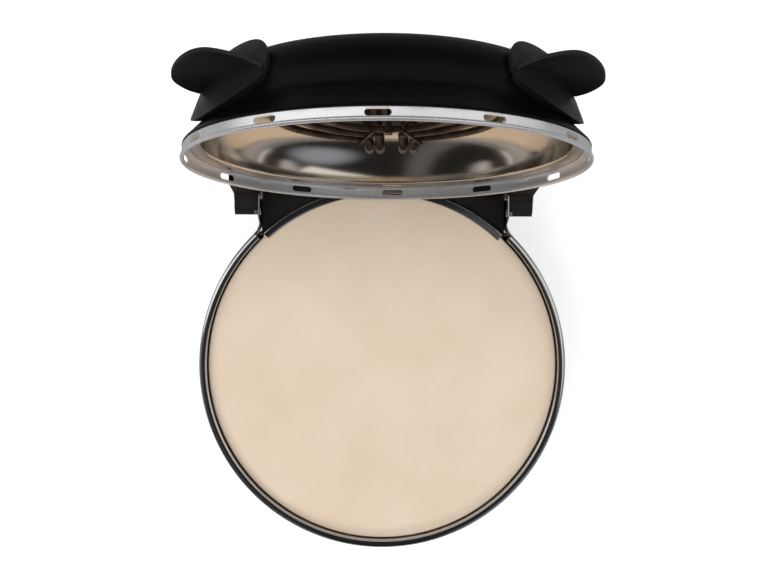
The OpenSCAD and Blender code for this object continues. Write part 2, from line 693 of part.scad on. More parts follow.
module element_brackets() in_band() color("silver") for (a = [-16, 16, -125, 125])
    from_back(a) difference() {
        union() {
            translate([inner_loop_r - 5, -1, lid_tube_w - tube_r - 1.5])
                cube([outer_loop_r - inner_loop_r + 10, 2, 2*tube_r + 3]);
            for (r = [inner_loop_r + turn_r, middle_loop_r + turn_r]) translate([r, 0, 0])
                rod_z(lid_tube_w + tube_r + 1, mirror_crown_w + sqrt(pow(mirror_crown, 2)
                      - pow(r + 1, 2)) - gap, 1);
        }
        translate([0, 0, lid_tube_w]) for (r = [inner_loop_r, middle_loop_r, outer_loop_r])
            tube_arc(r, tube_r + fit, -6, 12);
    }

module centre_clip() in_band() color("silver") from_back(0) difference() {
    union() {
        translate([inner_loop_r - 5, -3, lid_tube_w - tube_r - 1.2]) cube([10, 6, 2*tube_r + 2.4]);
        translate([inner_loop_r, 0, 0]) rod_z(lid_tube_w + tube_r + 1, mirror_crown_w
            + sqrt(pow(mirror_crown, 2) - pow(inner_loop_r + 1.5, 2)) - gap, 1.5);
    }
    translate([0, 0, lid_tube_w]) tube_arc(inner_loop_r, tube_r + fit, -8, 16);
}

module upper_terminals() in_band() color("white") at_bushings() difference() {
    rod_z(leg_end - 1 - bushing_l, leg_end - 1, bushing_r);
    rod_z(leg_end - 20, leg_end + 1, tube_r + fit);
}

module terminal_tabs() in_band() color("silver") at_bushings()
    translate([-2, -0.4, leg_end + seat]) cube([4, 0.8, 5]);

module lid_leads() on_lid() color([0.75, 0.72, 0.65]) both_sides() for (i = [0, 1])
    let (w = lid_tube_w - 2 - 3*i) translate([0, 0, w])
        tube_arc(mirror_c + sqrt(pow(mirror_shoulder + mirror_t, 2) - pow(w - mirror_w, 2))
                 + lead_r + gap, lead_r, 48, 30);

// hinge arms, drawn for the right side, with their side view as [y, w]
arm_front = pivot_y - 70;
module arm_side() {
    top = knuckle_r + pivot_w;
    n = [pivot_y, pivot_w] + turned(nose, open_angle);
    translate([pivot_y, pivot_w]) circle(knuckle_r);
    translate(n) circle(nose_r);
    polygon([[arm_front, 1.5], [pivot_y - 8, 1.5], [pivot_y + 2, 0], [pivot_y, top],
             [pivot_y - 50, top + 13], [arm_front, top + 11]]);
    polygon([[pivot_y + knuckle_r, pivot_w], n + [nose_r, 0], n - [nose_r, 0],
             [pivot_y - knuckle_r, pivot_w]]);
}

module hinge_arm() difference() {
    translate([arm_x, 0, 0]) rotate([90, 0, 90]) linear_extrude(arm_w) arm_side();
    // they follow the band's bead and the dome's foot
    shell(concat([[0, -5], [bead_out + gap, -5], [bead_out + gap, band_h + seat]],
        dome_line(gap)));
    rod_x(arm_x - 1, arm_x + arm_w - 2.6, [pivot_y, pivot_w], pin_d/2 + fit);
    // pocket that lets the stop stud pass on the way to closing
    translate([arm_x - 1, pivot_y, pivot_w]) rotate([90, 0, 90]) intersection() {
        difference() {
            cylinder(r = stud_turn + stud_r + 0.8, h = stud_l + 1);
            translate([0, 0, -1]) cylinder(r = stud_turn - stud_r - 0.8, h = stud_l + 3);
        }
        linear_extrude(stud_l + 1) polygon([[0, 0], 60*[cos(145), sin(145)], [-60, 0],
            60*[cos(205), sin(205)]]);
    }
    at_arm_screws() rod_z(-1, 6.5, 2 + fit);
}

module hinge_arm_right() on_lid() color([0.12, 0.12, 0.12]) hinge_arm();
module hinge_arm_left() on_lid() color([0.12, 0.12, 0.12]) mirror([1, 0, 0]) hinge_arm();

// the arm screws stand square on the flare, half-way up its cone
arm_screw = [edge_r - 7, edge_w + 7];
arm_turn = asin((arm_x + arm_w/2)/arm_screw[0]);
module at_arm_screws() for (s = [-1, 1]) from_back(s*arm_turn)
    translate([arm_screw[0], 0, arm_screw[1]]) rotate([0, 45, 0]) children();
module arm_screws() on_lid() color("silver") at_arm_screws() {
    rod_z(-dome_t - 2.2, -dome_t - 0.3, 3.2);
    rod_z(-dome_t - 1, 6, 2);
}

// handles: a saddle on the dome and a wing, with angles counted from the saddle's front end
// saddle, as [angle, lower edge, upper edge]
saddle_edge = [
    [1.4, 46.5, 51], [1.9, 42.5, 57], [3.3, 37.5, 61], [6.5, 33.5, 64.2], [10.5, 29.2, 66],
    [15, 25.4, 66.4], [20, 22.4, 65.4], [26, 20.6, 62.3], [32, 21, 57.5], [38, 24.5, 52],
    [42.5, 30, 47.5], [45.5, 36, 42]];
// line where the wing leaves the saddle, as [angle, w]
wing_root = [
    [2.2, 46.4], [3.6, 47.6], [5.8, 49.5], [8, 51.2], [10, 52.2], [12, 52.5], [14.5, 52.5],
    [18, 52.3], [22, 52.2], [26, 52.2], [30, 51.6], [33.5, 49], [36, 46.8]];
// outer edge of the wing, as [angle, share of the reach, w]
wing_edge = [
    [2, 0.15, 47], [3, 0.19, 49], [4.6, 0.26, 51.5], [6.5, 0.41, 54.4], [8.5, 0.54, 56.3],
    [10.4, 0.73, 57.9], [12.6, 0.91, 58.7], [16.2, 1, 58.3], [21.9, 1, 56.2],
    [28, 0.92, 52.5], [31, 0.78, 49], [33.3, 0.49, 46], [36, 0.18, 45.5]];
saddle_n = 22;
saddle_m = 6;
wing_n = 24;
wing_m = 5;

// a point that stands off the dome by d, at the angle a and the height w of the dome's wall
function on_dome(a, w, d) = let (
    e = asin(max(w - shoulder_w, 0)/shoulder_r), r = shoulder_c + (shoulder_r + d)*cos(e))
    [r*sin(saddle_front + a), -r*cos(saddle_front + a), w + d*sin(e)];
// how far the saddle stands off the dome: it leans away at its lower and its upper edge
function stand_off(w) = gap + 0.35*max(saddle_lean - w, 0) + 0.32*max(w - saddle_lean - 6, 0);
function saddle_point(i, j, d) = let (
    p = curve(saddle_edge, i/saddle_n), w = p[1] + (p[2] - p[1])*j/saddle_m)
    on_dome(p[0], w, stand_off(w) + d);
function wing_point(i, j, d) = let (u = i/wing_n, v = j/wing_m,
    q = curve(wing_root, u), root = on_dome(q[0], q[1], stand_off(q[1]) + saddle_t/2),
    tip = curve(wing_edge, u), r = waist_r + wing_reach*tip[1], a = saddle_front + tip[0],
    edge = [r*sin(a), -r*cos(a), tip[2]])
    root + (edge - root)*v + [0, 0, d + 2*sin(180*v)*sin(180*u)];
// faces of a closed slab whose two skins are grids of n by m cells
function slab_faces(n, m) = let (q = (n + 1)*(m + 1)) concat(
    [for (i = [0:n-1], j = [0:m-1]) let (k = i*(m+1) + j) each
        [[k, k+1, k+m+2], [k, k+m+2, k+m+1]]],
    [for (i = [0:n-1], j = [0:m-1]) let (k = q + i*(m+1) + j) each
        [[k, k+m+2, k+1], [k, k+m+1, k+m+2]]],
    [for (i = [0:n-1]) let (k = i*(m+1)) each
        [[k, k+m+1, q+k+m+1], [k, q+k+m+1, q+k]]],
    [for (i = [0:n-1]) let (k = i*(m+1) + m) each
        [[k, q+k+m+1, k+m+1], [k, q+k, q+k+m+1]]],
    [for (j = [0:m-1]) each [[j, q+j+1, j+1], [j, q+j, q+j+1]]],
    [for (j = [0:m-1]) let (k = n*(m+1) + j) each
        [[k, k+1, q+k+1], [k, q+k+1, q+k]]]);

module handle() difference() {
    union() {
        polyhedron(concat(
            [for (i = [0:saddle_n], j = [0:saddle_m]) saddle_point(i, j, saddle_t)],
            [for (i = [0:saddle_n], j = [0:saddle_m]) saddle_point(i, j, 0)]),
            slab_faces(saddle_n, saddle_m));
        polyhedron(concat(
            [for (i = [0:wing_n], j = [0:wing_m]) wing_point(i, j, -wing_t/2)],
            [for (i = [0:wing_n], j = [0:wing_m]) wing_point(i, j, wing_t/2)]),
            slab_faces(wing_n, wing_m));
    }
    at_handle_screws() rod_z(shoulder_r - 2, shoulder_r + gap + saddle_t - 0.8, 2 + fit);
}
module handle_right() on_lid() color([0.13, 0.13, 0.14]) handle();
module handle_left() on_lid() color([0.13, 0.13, 0.14]) mirror([1, 0, 0]) handle();

// the handle screws stand square on the dome's shoulder, where the saddle rests on it
screw_turn = 14;
module at_handle_screws() for (a = [12, 30]) from_front(saddle_front + a)
    translate([shoulder_c, 0, shoulder_w]) rotate([0, 90 - screw_turn, 0]) children();
module both_handles() both_sides() at_handle_screws() children();
module handle_screws() on_lid() color("silver") both_handles() {
    rod_z(shoulder_r - dome_t - 2.2, shoulder_r - dome_t - 0.3, 3.4);
    rod_z(shoulder_r - dome_t - 1, shoulder_r + gap + saddle_t - 1, 2);
}

stone();
rim_band();
guard_strip();
base_pan();
bottom_plate();
plate_screws();
feet();
foot_pads();
foot_screws();
foot_nuts();
lower_reflector();
tray_posts();
tray_screws();
lower_element();
lower_clips();
lower_terminals();
lower_insulation();
thermal_cutout();
sensor_tube();
rear_housing();
rear_cover();
cover_screws();
cord_gland();
terminal_block();
base_leads();
strap_screws();
hinge_pins();
hinge_washers();
stop_studs();
control_panel();
thermostat();
thermostat_screws();
power_lens();
ready_lens();
lamp_holders();
thermostat_shaft();
control_knob();
lid_dome();
lid_band();
lid_reflector();
lid_insulation();
outer_element();
inner_element();
element_brackets();
centre_clip();
upper_terminals();
terminal_tabs();
lid_leads();
hinge_arm_left();
hinge_arm_right();
arm_screws();
handle_left();
handle_right();
handle_screws();
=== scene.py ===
import math

import bmesh
import bpy
from mathutils import Matrix, Vector


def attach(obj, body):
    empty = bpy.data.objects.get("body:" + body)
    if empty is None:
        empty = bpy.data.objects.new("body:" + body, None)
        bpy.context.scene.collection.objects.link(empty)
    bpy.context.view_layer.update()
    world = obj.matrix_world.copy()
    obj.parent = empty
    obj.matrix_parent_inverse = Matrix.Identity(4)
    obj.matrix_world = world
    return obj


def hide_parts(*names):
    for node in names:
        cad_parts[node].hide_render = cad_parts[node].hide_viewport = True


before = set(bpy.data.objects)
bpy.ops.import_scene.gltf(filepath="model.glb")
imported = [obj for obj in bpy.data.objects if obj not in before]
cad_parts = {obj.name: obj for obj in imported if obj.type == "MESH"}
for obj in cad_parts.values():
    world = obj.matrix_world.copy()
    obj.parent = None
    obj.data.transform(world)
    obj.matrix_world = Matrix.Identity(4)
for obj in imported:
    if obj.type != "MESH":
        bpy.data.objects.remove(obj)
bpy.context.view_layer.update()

# sizes, in millimetres; heights w are above the stone's top or, in the lid, above its own lower face
MM = 0.001
STONE_TOP = 84.0        # height of the stone's top above the table
ORIGIN_Y = 41.22        # how far the frame's origin lies behind the middle of the stone
STONE_R, STONE_T = 155.0, 12.0
RIM_IN, RIM_OUT = 156.0, 162.5
RIM_TOP, RIM_DROP, RIM_ROUND = 9.7, 16.0, 3.0
SHEET = 1.2             # steel of the rim and its straps
SEAT, GAP = 0.1, 0.3    # clearances between pieces that rest and pieces that pass

# the rim's straps and the hinge
STRAP_X = 110.0
BEND_R = 15.0
BEND = (STRAP_X + BEND_R, math.sqrt((RIM_OUT + BEND_R)**2 - (STRAP_X + BEND_R)**2))
BEND_A = math.degrees(math.atan2(BEND[1], BEND[0]))
PIVOT_Y, PIVOT_W, PIVOT_Z = 151.6, 5.0, 15.0
PIN_R = 4.0
STRAP_EDGE = PIN_R + 5.5        # strap round the pin
OPEN = 96.0                     # the lid's turn in the photograph
ARM_X, ARM_W, ARM_FOOT = 110.5, 20.5, 1.5
ARM_FRONT = PIVOT_Y - 70
KNUCKLE_R, NOSE_R = 11.0, 10.7
NOSE = (-9.1, -4.0)             # the nose's middle from the pivot with the lid open
STUD_Y, STUD_R, STUD_L, STUD_ROOM = 17.6, 2.2, 3.0, 0.8
STUD_Z = NOSE[1] + math.sqrt((NOSE_R + STUD_R + GAP)**2 - (STUD_Y + NOSE[0])**2)

# the housing, the panel and the feet
HOUSE_X, HOUSE_Y, HOUSE_ROUND = 108.5, 172.0, 4.0
HOUSE_LOW, HOUSE_HIGH, COVER_FRONT = -46.0, -3.5, 142.3
PANEL_Y, PANEL_Z = -152.0, -42.0
PANEL_X, PANEL_H, PANEL_ROUND = 48.0, 38.0, 5.0
LAMP_X = 33
FOOT_PLACE, FOOT_TURNS = 108.0, (50, 130, 230, 310)

# the lid's band and dome
BAND_TURN = 2.9         # turn of the slots about the lid's axis
BAND_R, BAND_T, BAND_H = 157.6, 0.9, 10.2
BEAD_R, BEAD_OUT = 1.7, 159.2
SLOTS, SLOT_L, SLOT_H, SLOT_W = 12, 18.5, 5.0, 5.9
FLANGE, FLANGE_ROUND = 6.0, 0.6
DOME_T = 1.2
FLARE, FLARE_BEND, HALF_BEND = 16.2, 14.0, math.tan(math.radians(22.5))
EDGE_R, EDGE_W, EDGE_SOFT = BAND_R + 0.2, BAND_H + 1.8, 3.5
WAIST_R = EDGE_R - FLARE
WAIST_W = EDGE_W + FLARE + FLARE_BEND*HALF_BEND
SHOULDER_R, SHOULDER_W, SHOULDER_END = 31.0, 41.2, 76.0
SHOULDER_C = WAIST_R - SHOULDER_R
SLOPE = math.radians(90 - SHOULDER_END)
CROWN_R = SHOULDER_R + SHOULDER_C/math.sin(SLOPE)
CROWN_W = SHOULDER_W - SHOULDER_C/math.tan(SLOPE)

# the reflector and the elements
MIRROR_EDGE, MIRROR_R = EDGE_R - DOME_T - GAP, EDGE_R - 14.8
MIRROR_LOW = BAND_H + SEAT
MIRROR_W = MIRROR_LOW + 2.1
MIRROR_S, MIRROR_T = 42.0, 0.8
MIRROR_C = MIRROR_R - MIRROR_S
MIRROR_CROWN = MIRROR_S + MIRROR_C/math.sin(SLOPE)
MIRROR_CROWN_W = MIRROR_W - MIRROR_C/math.tan(SLOPE)
TUBE_R, TUBE_W = 3.0, 40.0
OUTER_LOOP, MIDDLE_LOOP, INNER_LOOP = 90.0, 70.0, 50.0
OUTER_LEG, INNER_LEG = 19.0, 10.0
OUTER_BEND, INNER_BEND = 5.0, 4.5
LEG_END = WAIST_R - DOME_T - 7
TURN_AT = 16.0

# the picture, in pixels, and the camera that was fitted to it
PICTURE_W, PICTURE_MIDDLE, FOCAL = 770, 365.1, 1420
CAMERA_X, CAMERA_Y, CAMERA_UP, CAMERA_YAW = -15.1, 66.8, 1268, 0.44


def turn(degrees, axis):
    return Matrix.Rotation(math.radians(degrees), 4, axis)


BASE = Matrix.Translation((0, -ORIGIN_Y, STONE_TOP))
LID = (BASE @ Matrix.Translation((0, PIVOT_Y, PIVOT_Z)) @ turn(-OPEN, "X")
       @ Matrix.Translation((0, -PIVOT_Y, -PIVOT_W)))
BAND = LID @ turn(-BAND_TURN, "Z")
MIRRORED = Matrix.Diagonal((-1, 1, 1, 1))
SIDES = (("right", LID), ("left", LID @ MIRRORED))


def sin(a):
    return math.sin(math.radians(a))


def cos(a):
    return math.cos(math.radians(a))


# looks
def maths(tree, operation, a, b):
    """Two numbers, each from a socket or given, put together."""
    made = tree.nodes.new("ShaderNodeMath")
    made.operation = operation
    for socket, value in zip(made.inputs, (a, b)):
        if isinstance(value, float):
            socket.default_value = value
        else:
            tree.links.new(value, socket)
    return made.outputs[0]


def mixed(tree, share, a, b):
    """The colour a, from a socket or given, mixed with the given colour b."""
    made = tree.nodes.new("ShaderNodeMix")
    made.data_type = "RGBA"
    share_in, a_in, b_in = made.inputs[0], made.inputs[6], made.inputs[7]
    tree.links.new(share, share_in)
    if isinstance(a, tuple):
        a_in.default_value = a
    else:
        tree.links.new(a, a_in)
    b_in.default_value = b
    return made.outputs[2]


class Look:
    """A material made of nodes. Patterns lie in the piece's own frame, kept as the mesh attribute local."""

    def __init__(self, name, colour, rough, metal=0.0, **sockets):
        self.material = bpy.data.materials.new(name)
        self.material.use_nodes = True
        self.tree = self.material.node_tree
        self.shader = self.tree.nodes["Principled BSDF"]
        self.set("Base Color", (*colour, 1))
        self.set("Roughness", rough)
        self.set("Metallic", metal)
        for socket, value in sockets.items():
            self.set(socket.replace("_", " "), value)
        self.height = None

    def set(self, socket, value):
        self.shader.inputs[socket].default_value = value

    def node(self, kind, **values):
        made = self.tree.nodes.new(kind)
        for name, value in values.items():
            setattr(made, name, value)
        return made

    def link(self, a, b):
        self.tree.links.new(a, b)

    def place(self, ring):
        """The place in the piece's frame, in metres; for a ring its X and Y lie on a unit circle."""
        local = self.node("ShaderNodeAttribute", attribute_name="local").outputs["Vector"]
        if not ring:
            return local
        flat = self.node("ShaderNodeVectorMath", operation="MULTIPLY")
        self.link(local, flat.inputs[0])
        flat.inputs[1].default_value = (1, 1, 0)
        unit = self.node("ShaderNodeVectorMath", operation="NORMALIZE")
        self.link(flat.outputs[0], unit.inputs[0])
        length = self.node("ShaderNodeVectorMath", operation="LENGTH")
        self.link(flat.outputs[0], length.inputs[0])
        height = self.node("ShaderNodeSeparateXYZ")
        self.link(local, height.inputs[0])
        split = self.node("ShaderNodeSeparateXYZ")
        self.link(unit.outputs[0], split.inputs[0])
        joined = self.node("ShaderNodeCombineXYZ")
        for axis in "XY":
            self.link(split.outputs[axis], joined.inputs[axis])
        self.link(maths(self.tree, "ADD", length.outputs["Value"], height.outputs["Z"]), joined.inputs["Z"])
        return joined.outputs[0]

    def pattern(self, kind, scale, stretch=(1, 1, 1), ring=False):
        mapping = self.node("ShaderNodeMapping")
        mapping.inputs["Scale"].default_value = stretch
        self.link(self.place(ring), mapping.inputs["Vector"])
        made = self.node(kind)
        made.inputs["Scale"].default_value = scale
        self.link(mapping.outputs[0], made.inputs["Vector"])
        return made

    def noise(self, scale, detail=3, stretch=(1, 1, 1), ring=False, rough=0.5):
        made = self.pattern("ShaderNodeTexNoise", scale, stretch, ring)
        made.inputs["Detail"].default_value = detail
        made.inputs["Roughness"].default_value = rough
        return made.outputs["Fac"]

    def cells(self, scale):
        return self.pattern("ShaderNodeTexVoronoi", scale).outputs["Distance"]

    def facets(self, scale):
        grey = self.node("ShaderNodeRGBToBW")
        self.link(self.pattern("ShaderNodeTexVoronoi", scale).outputs["Color"], grey.inputs[0])
        return grey.outputs[0]

    def span(self, source, low, high, start=0.3, end=0.7):
        """The pattern mapped to numbers from low to high."""
        made = self.node("ShaderNodeMapRange")
        self.link(source, made.inputs["Value"])
        for name, value in (("From Min", start), ("From Max", end), ("To Min", low), ("To Max", high)):
            made.inputs[name].default_value = value
        return made.outputs["Result"]

    def colours(self, source, stops):
        ramp = self.node("ShaderNodeValToRGB")
        while len(ramp.color_ramp.elements) < len(stops):
            ramp.color_ramp.elements.new(0.5)
        for element, (place, colour) in zip(ramp.color_ramp.elements, stops):
            element.position = place
            element.color = (*colour, 1)
        self.link(source, ramp.inputs[0])
        return ramp.outputs["Color"]

    def mixed(self, share, a, b):
        return mixed(self.tree, share, a, (*b, 1))

    def tint(self, source, stops):
        self.link(self.colours(source, stops), self.shader.inputs["Base Color"])
        return self

    def gloss(self, source, low, high, start=0.3, end=0.7):
        self.link(self.span(source, low, high, start, end), self.shader.inputs["Roughness"])
        return self

    def bump(self, source, millimetres, strength=1.0):
        made = self.node("ShaderNodeBump")
        made.inputs["Distance"].default_value = millimetres*MM
        made.inputs["Strength"].default_value = strength
        self.link(source, made.inputs["Height"])
        if self.height is not None:
            self.link(self.height, made.inputs["Normal"])
        self.height = made.outputs["Normal"]
        self.link(self.height, self.shader.inputs["Normal"])
        return self


def stone_look():
    m = Look("ceramic_stone", (0.74, 0.60, 0.46), 0.62)
    broad = m.noise(14, 4)
    speck = m.cells(520)
    base = m.colours(broad, [(0.25, (0.735, 0.590, 0.440)), (0.5, (0.775, 0.630, 0.485)),
                             (0.78, (0.815, 0.680, 0.540))])
    dark = m.span(m.noise(900, 2), 0.0, 0.16, 0.56, 0.74)
    shade = m.mixed(dark, base, (0.42, 0.31, 0.22))
    m.link(shade, m.shader.inputs["Base Color"])
    m.gloss(m.noise(160, 3), 0.52, 0.74)
    m.bump(m.span(speck, 0, 1, 0.0, 0.6), 0.05, 0.5)
    m.bump(m.noise(1500, 4), 0.05, 0.6)
    return m


def steel_look(name, colour, rough, lines, along, dull, depth=0.004, metal=1.0):
    """Steel with fine lines that run round the piece."""
    m = Look(name, colour, rough, metal)
    fine = m.noise(1, 4, (along, along, lines), True, 0.7)
    cloud = m.noise(26, 3)
    tone = m.colours(fine, [(0.3, tuple(0.93*c for c in colour)), (0.7, colour)])
    m.link(m.mixed(m.span(cloud, 0, 0.35), tone, tuple(0.94*c for c in colour)),
           m.shader.inputs["Base Color"])
    m.gloss(fine, rough, rough + dull, 0.25, 0.75)
    m.bump(fine, depth, 0.5)
    return m


def zinc_look():
    m = Look("zinc_sheet", (0.55, 0.56, 0.57), 0.42, 1.0)
    m.tint(m.facets(110), [(0.1, (0.42, 0.43, 0.45)), (0.9, (0.63, 0.64, 0.65))])
    m.gloss(m.facets(110), 0.3, 0.52, 0, 1)
    m.bump(m.noise(300, 3), 0.02, 0.5)
    return m


def plastic_look(name, colour, rough, grain=1700.0, depth=0.03, shine=0.5):
    m = Look(name, colour, rough, Specular_IOR_Level=shine)
    light = tuple(min(1, 1.35*c + 0.002) for c in colour)
    m.tint(m.noise(24, 4), [(0.3, colour), (0.75, light)])
    m.gloss(m.noise(60, 3), rough - 0.06, rough + 0.08)
    m.bump(m.noise(grain, 2), depth, 0.6)
    return m


def dome_look():
    m = Look("satin_enamel", (0.0030, 0.0026, 0.0026), 0.40, Specular_IOR_Level=0.08)
    m.tint(m.noise(18, 3), [(0.3, (0.0026, 0.0022, 0.0022)), (0.75, (0.0040, 0.0035, 0.0035))])
    m.gloss(m.noise(420, 3), 0.34, 0.46)
    m.bump(m.noise(620, 2), 0.02, 0.5)
    return m


def enamel_look():
    m = Look("black_enamel", (0.010, 0.010, 0.011), 0.22, Coat_Weight=0.6, Coat_Roughness=0.12)
    m.tint(m.noise(20, 3), [(0.3, (0.009, 0.009, 0.010)), (0.75, (0.015, 0.015, 0.016))])
    m.gloss(m.noise(300, 3), 0.2, 0.32)
    m.bump(m.noise(380, 2), 0.03, 0.5)
    return m


def scaled_look():
    m = Look("scaled_steel", (0.10, 0.080, 0.065), 0.45, 0.9)
    m.tint(m.noise(120, 4), [(0.3, (0.060, 0.046, 0.038)), (0.75, (0.17, 0.135, 0.105))])
    m.gloss(m.noise(260, 3), 0.36, 0.56)
    m.bump(m.noise(800, 3), 0.02, 0.5)
    return m


def tube_look():
    m = Look("oxidised_tube", (0.09, 0.058, 0.040), 0.42, 0.85)
    m.tint(m.noise(70, 5), [(0.25, (0.045, 0.029, 0.021)), (0.5, (0.090, 0.058, 0.040)),
                            (0.75, (0.150, 0.100, 0.068))])
    m.gloss(m.noise(190, 4), 0.3, 0.55)
    m.bump(m.noise(900, 3), 0.02, 0.6)
    return m


def wool_look():
    m = Look("mineral_wool", (0.62, 0.58, 0.44), 0.95)
    fibre = m.noise(420, 5, (1, 0.18, 1))
    m.tint(fibre, [(0.3, (0.48, 0.43, 0.30)), (0.7, (0.74, 0.70, 0.56))])
    m.bump(fibre, 0.5, 0.8)
    return m


def ceramic_look(name, colour):
    m = Look(name, colour, 0.38)
    m.tint(m.noise(220, 3), [(0.3, tuple(0.9*c for c in colour)), (0.7, tuple(1.08*c for c in colour))])
    m.bump(m.noise(1400, 2), 0.02, 0.5)
    return m


def copper_look():
    m = Look("copper_tube", (0.80, 0.42, 0.26), 0.32, 1.0)
    m.tint(m.noise(90, 4), [(0.3, (0.62, 0.30, 0.18)), (0.7, (0.86, 0.48, 0.32))])
    m.gloss(m.noise(300, 3), 0.25, 0.45)
    return m


def sleeve_look(colour):
    m = Look("lead_sleeve", colour, 0.7)
    weave = m.noise(2400, 1, (1, 1, 0.4))
    m.tint(weave, [(0.35, tuple(0.75*c for c in colour)), (0.65, colour)])
    m.bump(weave, 0.08, 0.6)
    return m


def lens_look(name, colour):
    m = Look(name, colour, 0.12, Transmission_Weight=0.35, IOR=1.49)
    m.tint(m.noise(500, 2), [(0.3, colour), (0.7, tuple(min(1, 1.25*c) for c in colour))])
    m.bump(m.cells(700), 0.12, 0.4)
    return m


LOOKS = {
    "baking_stone": stone_look(),
    "polished_steel": steel_look("polished_steel", (0.62, 0.61, 0.61), 0.09, 2600, 5, 0.06),
    "brushed_band": steel_look("brushed_band", (0.80, 0.79, 0.80), 0.24, 300, 700, 0.12, metal=0.78),
    "mirror_steel": steel_look("mirror_steel", (0.72, 0.64, 0.55), 0.14, 900, 3, 0.03, depth=0.0004),
    "zinc_plate": zinc_look(),
    "screw_steel": steel_look("screw_steel", (0.62, 0.62, 0.63), 0.28, 1500, 20, 0.15),
    "dome_paint": dome_look(),
    "black_enamel": enamel_look(),
    "black_plastic": plastic_look("moulded_black", (0.011, 0.0095, 0.009), 0.5, shine=0.3),
    "handle_plastic": plastic_look("handle_black", (0.0095, 0.0078, 0.0066), 0.46, 2100, 0.025, 0.25),
    "rubber_pad": plastic_look("pad_rubber", (0.03, 0.03, 0.031), 0.85, 900, 0.08),
    "element_tube": tube_look(),
    "scaled_steel": scaled_look(),
    "white_ceramic": ceramic_look("white_ceramic", (0.80, 0.78, 0.72)),
    # a dark grey-brown ceramic, far darker than the white ceramic; only the upper terminals are drawn in it
    "dark_ceramic": ceramic_look("dark_ceramic", (0.20, 0.17, 0.14)),
    "mineral_wool": wool_look(),
    "copper_tube": copper_look(),
    "lead_sleeve": sleeve_look((0.62, 0.58, 0.50)),
    "red_lens": lens_look("red_lens", (0.62, 0.02, 0.012)),
    "green_lens": lens_look("green_lens", (0.03, 0.42, 0.08)),
    "white_mark": plastic_look("white_mark", (0.78, 0.78, 0.76), 0.5, 1500, 0.01),
}


# meshes
def join(*parts):
    """Several (points, faces) as one."""
    points, faces = [], []
    for p, f in parts:
        faces += [[i + len(points) for i in face] for face in f]
        points += p
    return points, faces


def moved(matrix, part):
    return [tuple(matrix @ Vector(p)) for p in part[0]], part[1]


def lathe(profile, n=128, start=0.0, angle=360.0, closed=True):
    """The profile of [r, z] turned about Z. A closed profile makes a solid ring or part ring."""
    full = angle >= 360
    rows = n if full else n + 1
    points = [(r*cos(start + angle*i/n), r*sin(start + angle*i/n), z)
              for i in range(rows) for r, z in profile]
    m = len(profile)
    faces = []
    for i in range(n):
        a, b = i*m, ((i + 1) % rows)*m
        for j in range(m if closed else m - 1):
            k = (j + 1) % m
            faces.append([a + j, b + j, b + k, a + k])
    if not full and closed:
        faces.append(list(range(m))[::-1])
        faces.append([(rows - 1)*m + j for j in range(m)])
    return points, faces


def prism(outline, low, high):
    """An outline of [x, y] between two heights."""
    n = len(outline)
    points = [(x, y, low) for x, y in outline] + [(x, y, high) for x, y in outline]
    faces = [list(range(n))[::-1], [n + i for i in range(n)]]
    faces += [[i, (i + 1) % n, n + (i + 1) % n, n + i] for i in range(n)]
    return points, faces


def block(x0, x1, y0, y1, z0, z1):
    return prism([(x0, y0), (x1, y0), (x1, y1), (x0, y1)], z0, z1)


def arc(c, r, a0, a1, n):
    """Points round the centre c, from the angle a0 to a1 in n steps."""
    return [(c[0] + r*cos(a0 + (a1 - a0)*i/n), c[1] + r*sin(a0 + (a1 - a0)*i/n)) for i in range(n + 1)]


def loft(rows, ends=True):
    """Closed rows of points joined one to the next, with the ends closed too if it is a solid."""
    n, m = len(rows), len(rows[0])
    faces = [[i*m + j, (i + 1)*m + j, (i + 1)*m + (j + 1) % m, i*m + (j + 1) % m]
             for i in range(n - 1) for j in range(m)]
    if ends:
        faces += [list(range(m)), [(n - 1)*m + j for j in range(m)][::-1]]
    return [p for row in rows for p in row], faces


def tube(path, r, n):
    """A round tube along the path, with flat ends."""
    path = [Vector(p) for p in path]
    count = len(path)
    tangents = [(path[min(i + 1, count - 1)] - path[max(i - 1, 0)]).normalized() for i in range(count)]
    side = tangents[0].orthogonal().normalized()
    rows = []
    for centre, along in zip(path, tangents):
        side = (side - along*side.dot(along)).normalized()
        up = along.cross(side)
        rows.append([tuple(centre + side*(r*cos(360*k/n)) + up*(r*sin(360*k/n))) for k in range(n)])
    return loft(rows)


def rounded_path(corners, radius, n=8):
    """Points along straight runs with their corners rounded."""
    corners = [Vector(c) for c in corners]
    out = [corners[0]]
    for a, b, c in zip(corners, corners[1:], corners[2:]):
        u, v = (a - b).normalized(), (c - b).normalized()
        half = u.angle(v)/2
        reach = radius/math.tan(half)
        centre = b + (u + v).normalized()*(radius/math.sin(half))
        p, q = b + u*reach - centre, b + v*reach - centre
        whole = p.angle(q)
        for i in range(n + 1):
            t = i/n
            out.append(centre + (p*math.sin((1 - t)*whole) + q*math.sin(t*whole))/math.sin(whole))
    return out + [corners[-1]]


def grid_slab(top, bottom):
    """A closed slab between two grids of points."""
    n, m = len(top), len(top[0])
    points = [p for row in top for p in row] + [p for row in bottom for p in row]
    q = n*m
    faces = []
    for i in range(n - 1):
        for j in range(m - 1):
            k = i*m + j
            faces.append([k, k + 1, k + m + 1, k + m])
            faces.append([q + k, q + k + m, q + k + m + 1, q + k + 1])
    edge = ([i*m for i in range(n)] + [(n - 1)*m + j for j in range(1, m)]
            + [i*m + m - 1 for i in range(n - 2, -1, -1)] + [j for j in range(m - 2, 0, -1)])
    for a, b in zip(edge, edge[1:] + edge[:1]):
        faces.append([a, b, q + b, q + a])
    return points, faces


def solid_mesh(name, part):
    mesh = bpy.data.meshes.new(name)
    mesh.from_pydata([Vector(p) for p in part[0]], [], part[1])
    work = bmesh.new()
    work.from_mesh(mesh)
    bmesh.ops.remove_doubles(work, verts=work.verts, dist=0.002)
    bmesh.ops.recalc_face_normals(work, faces=work.faces)
    work.to_mesh(mesh)
    work.free()
    return mesh


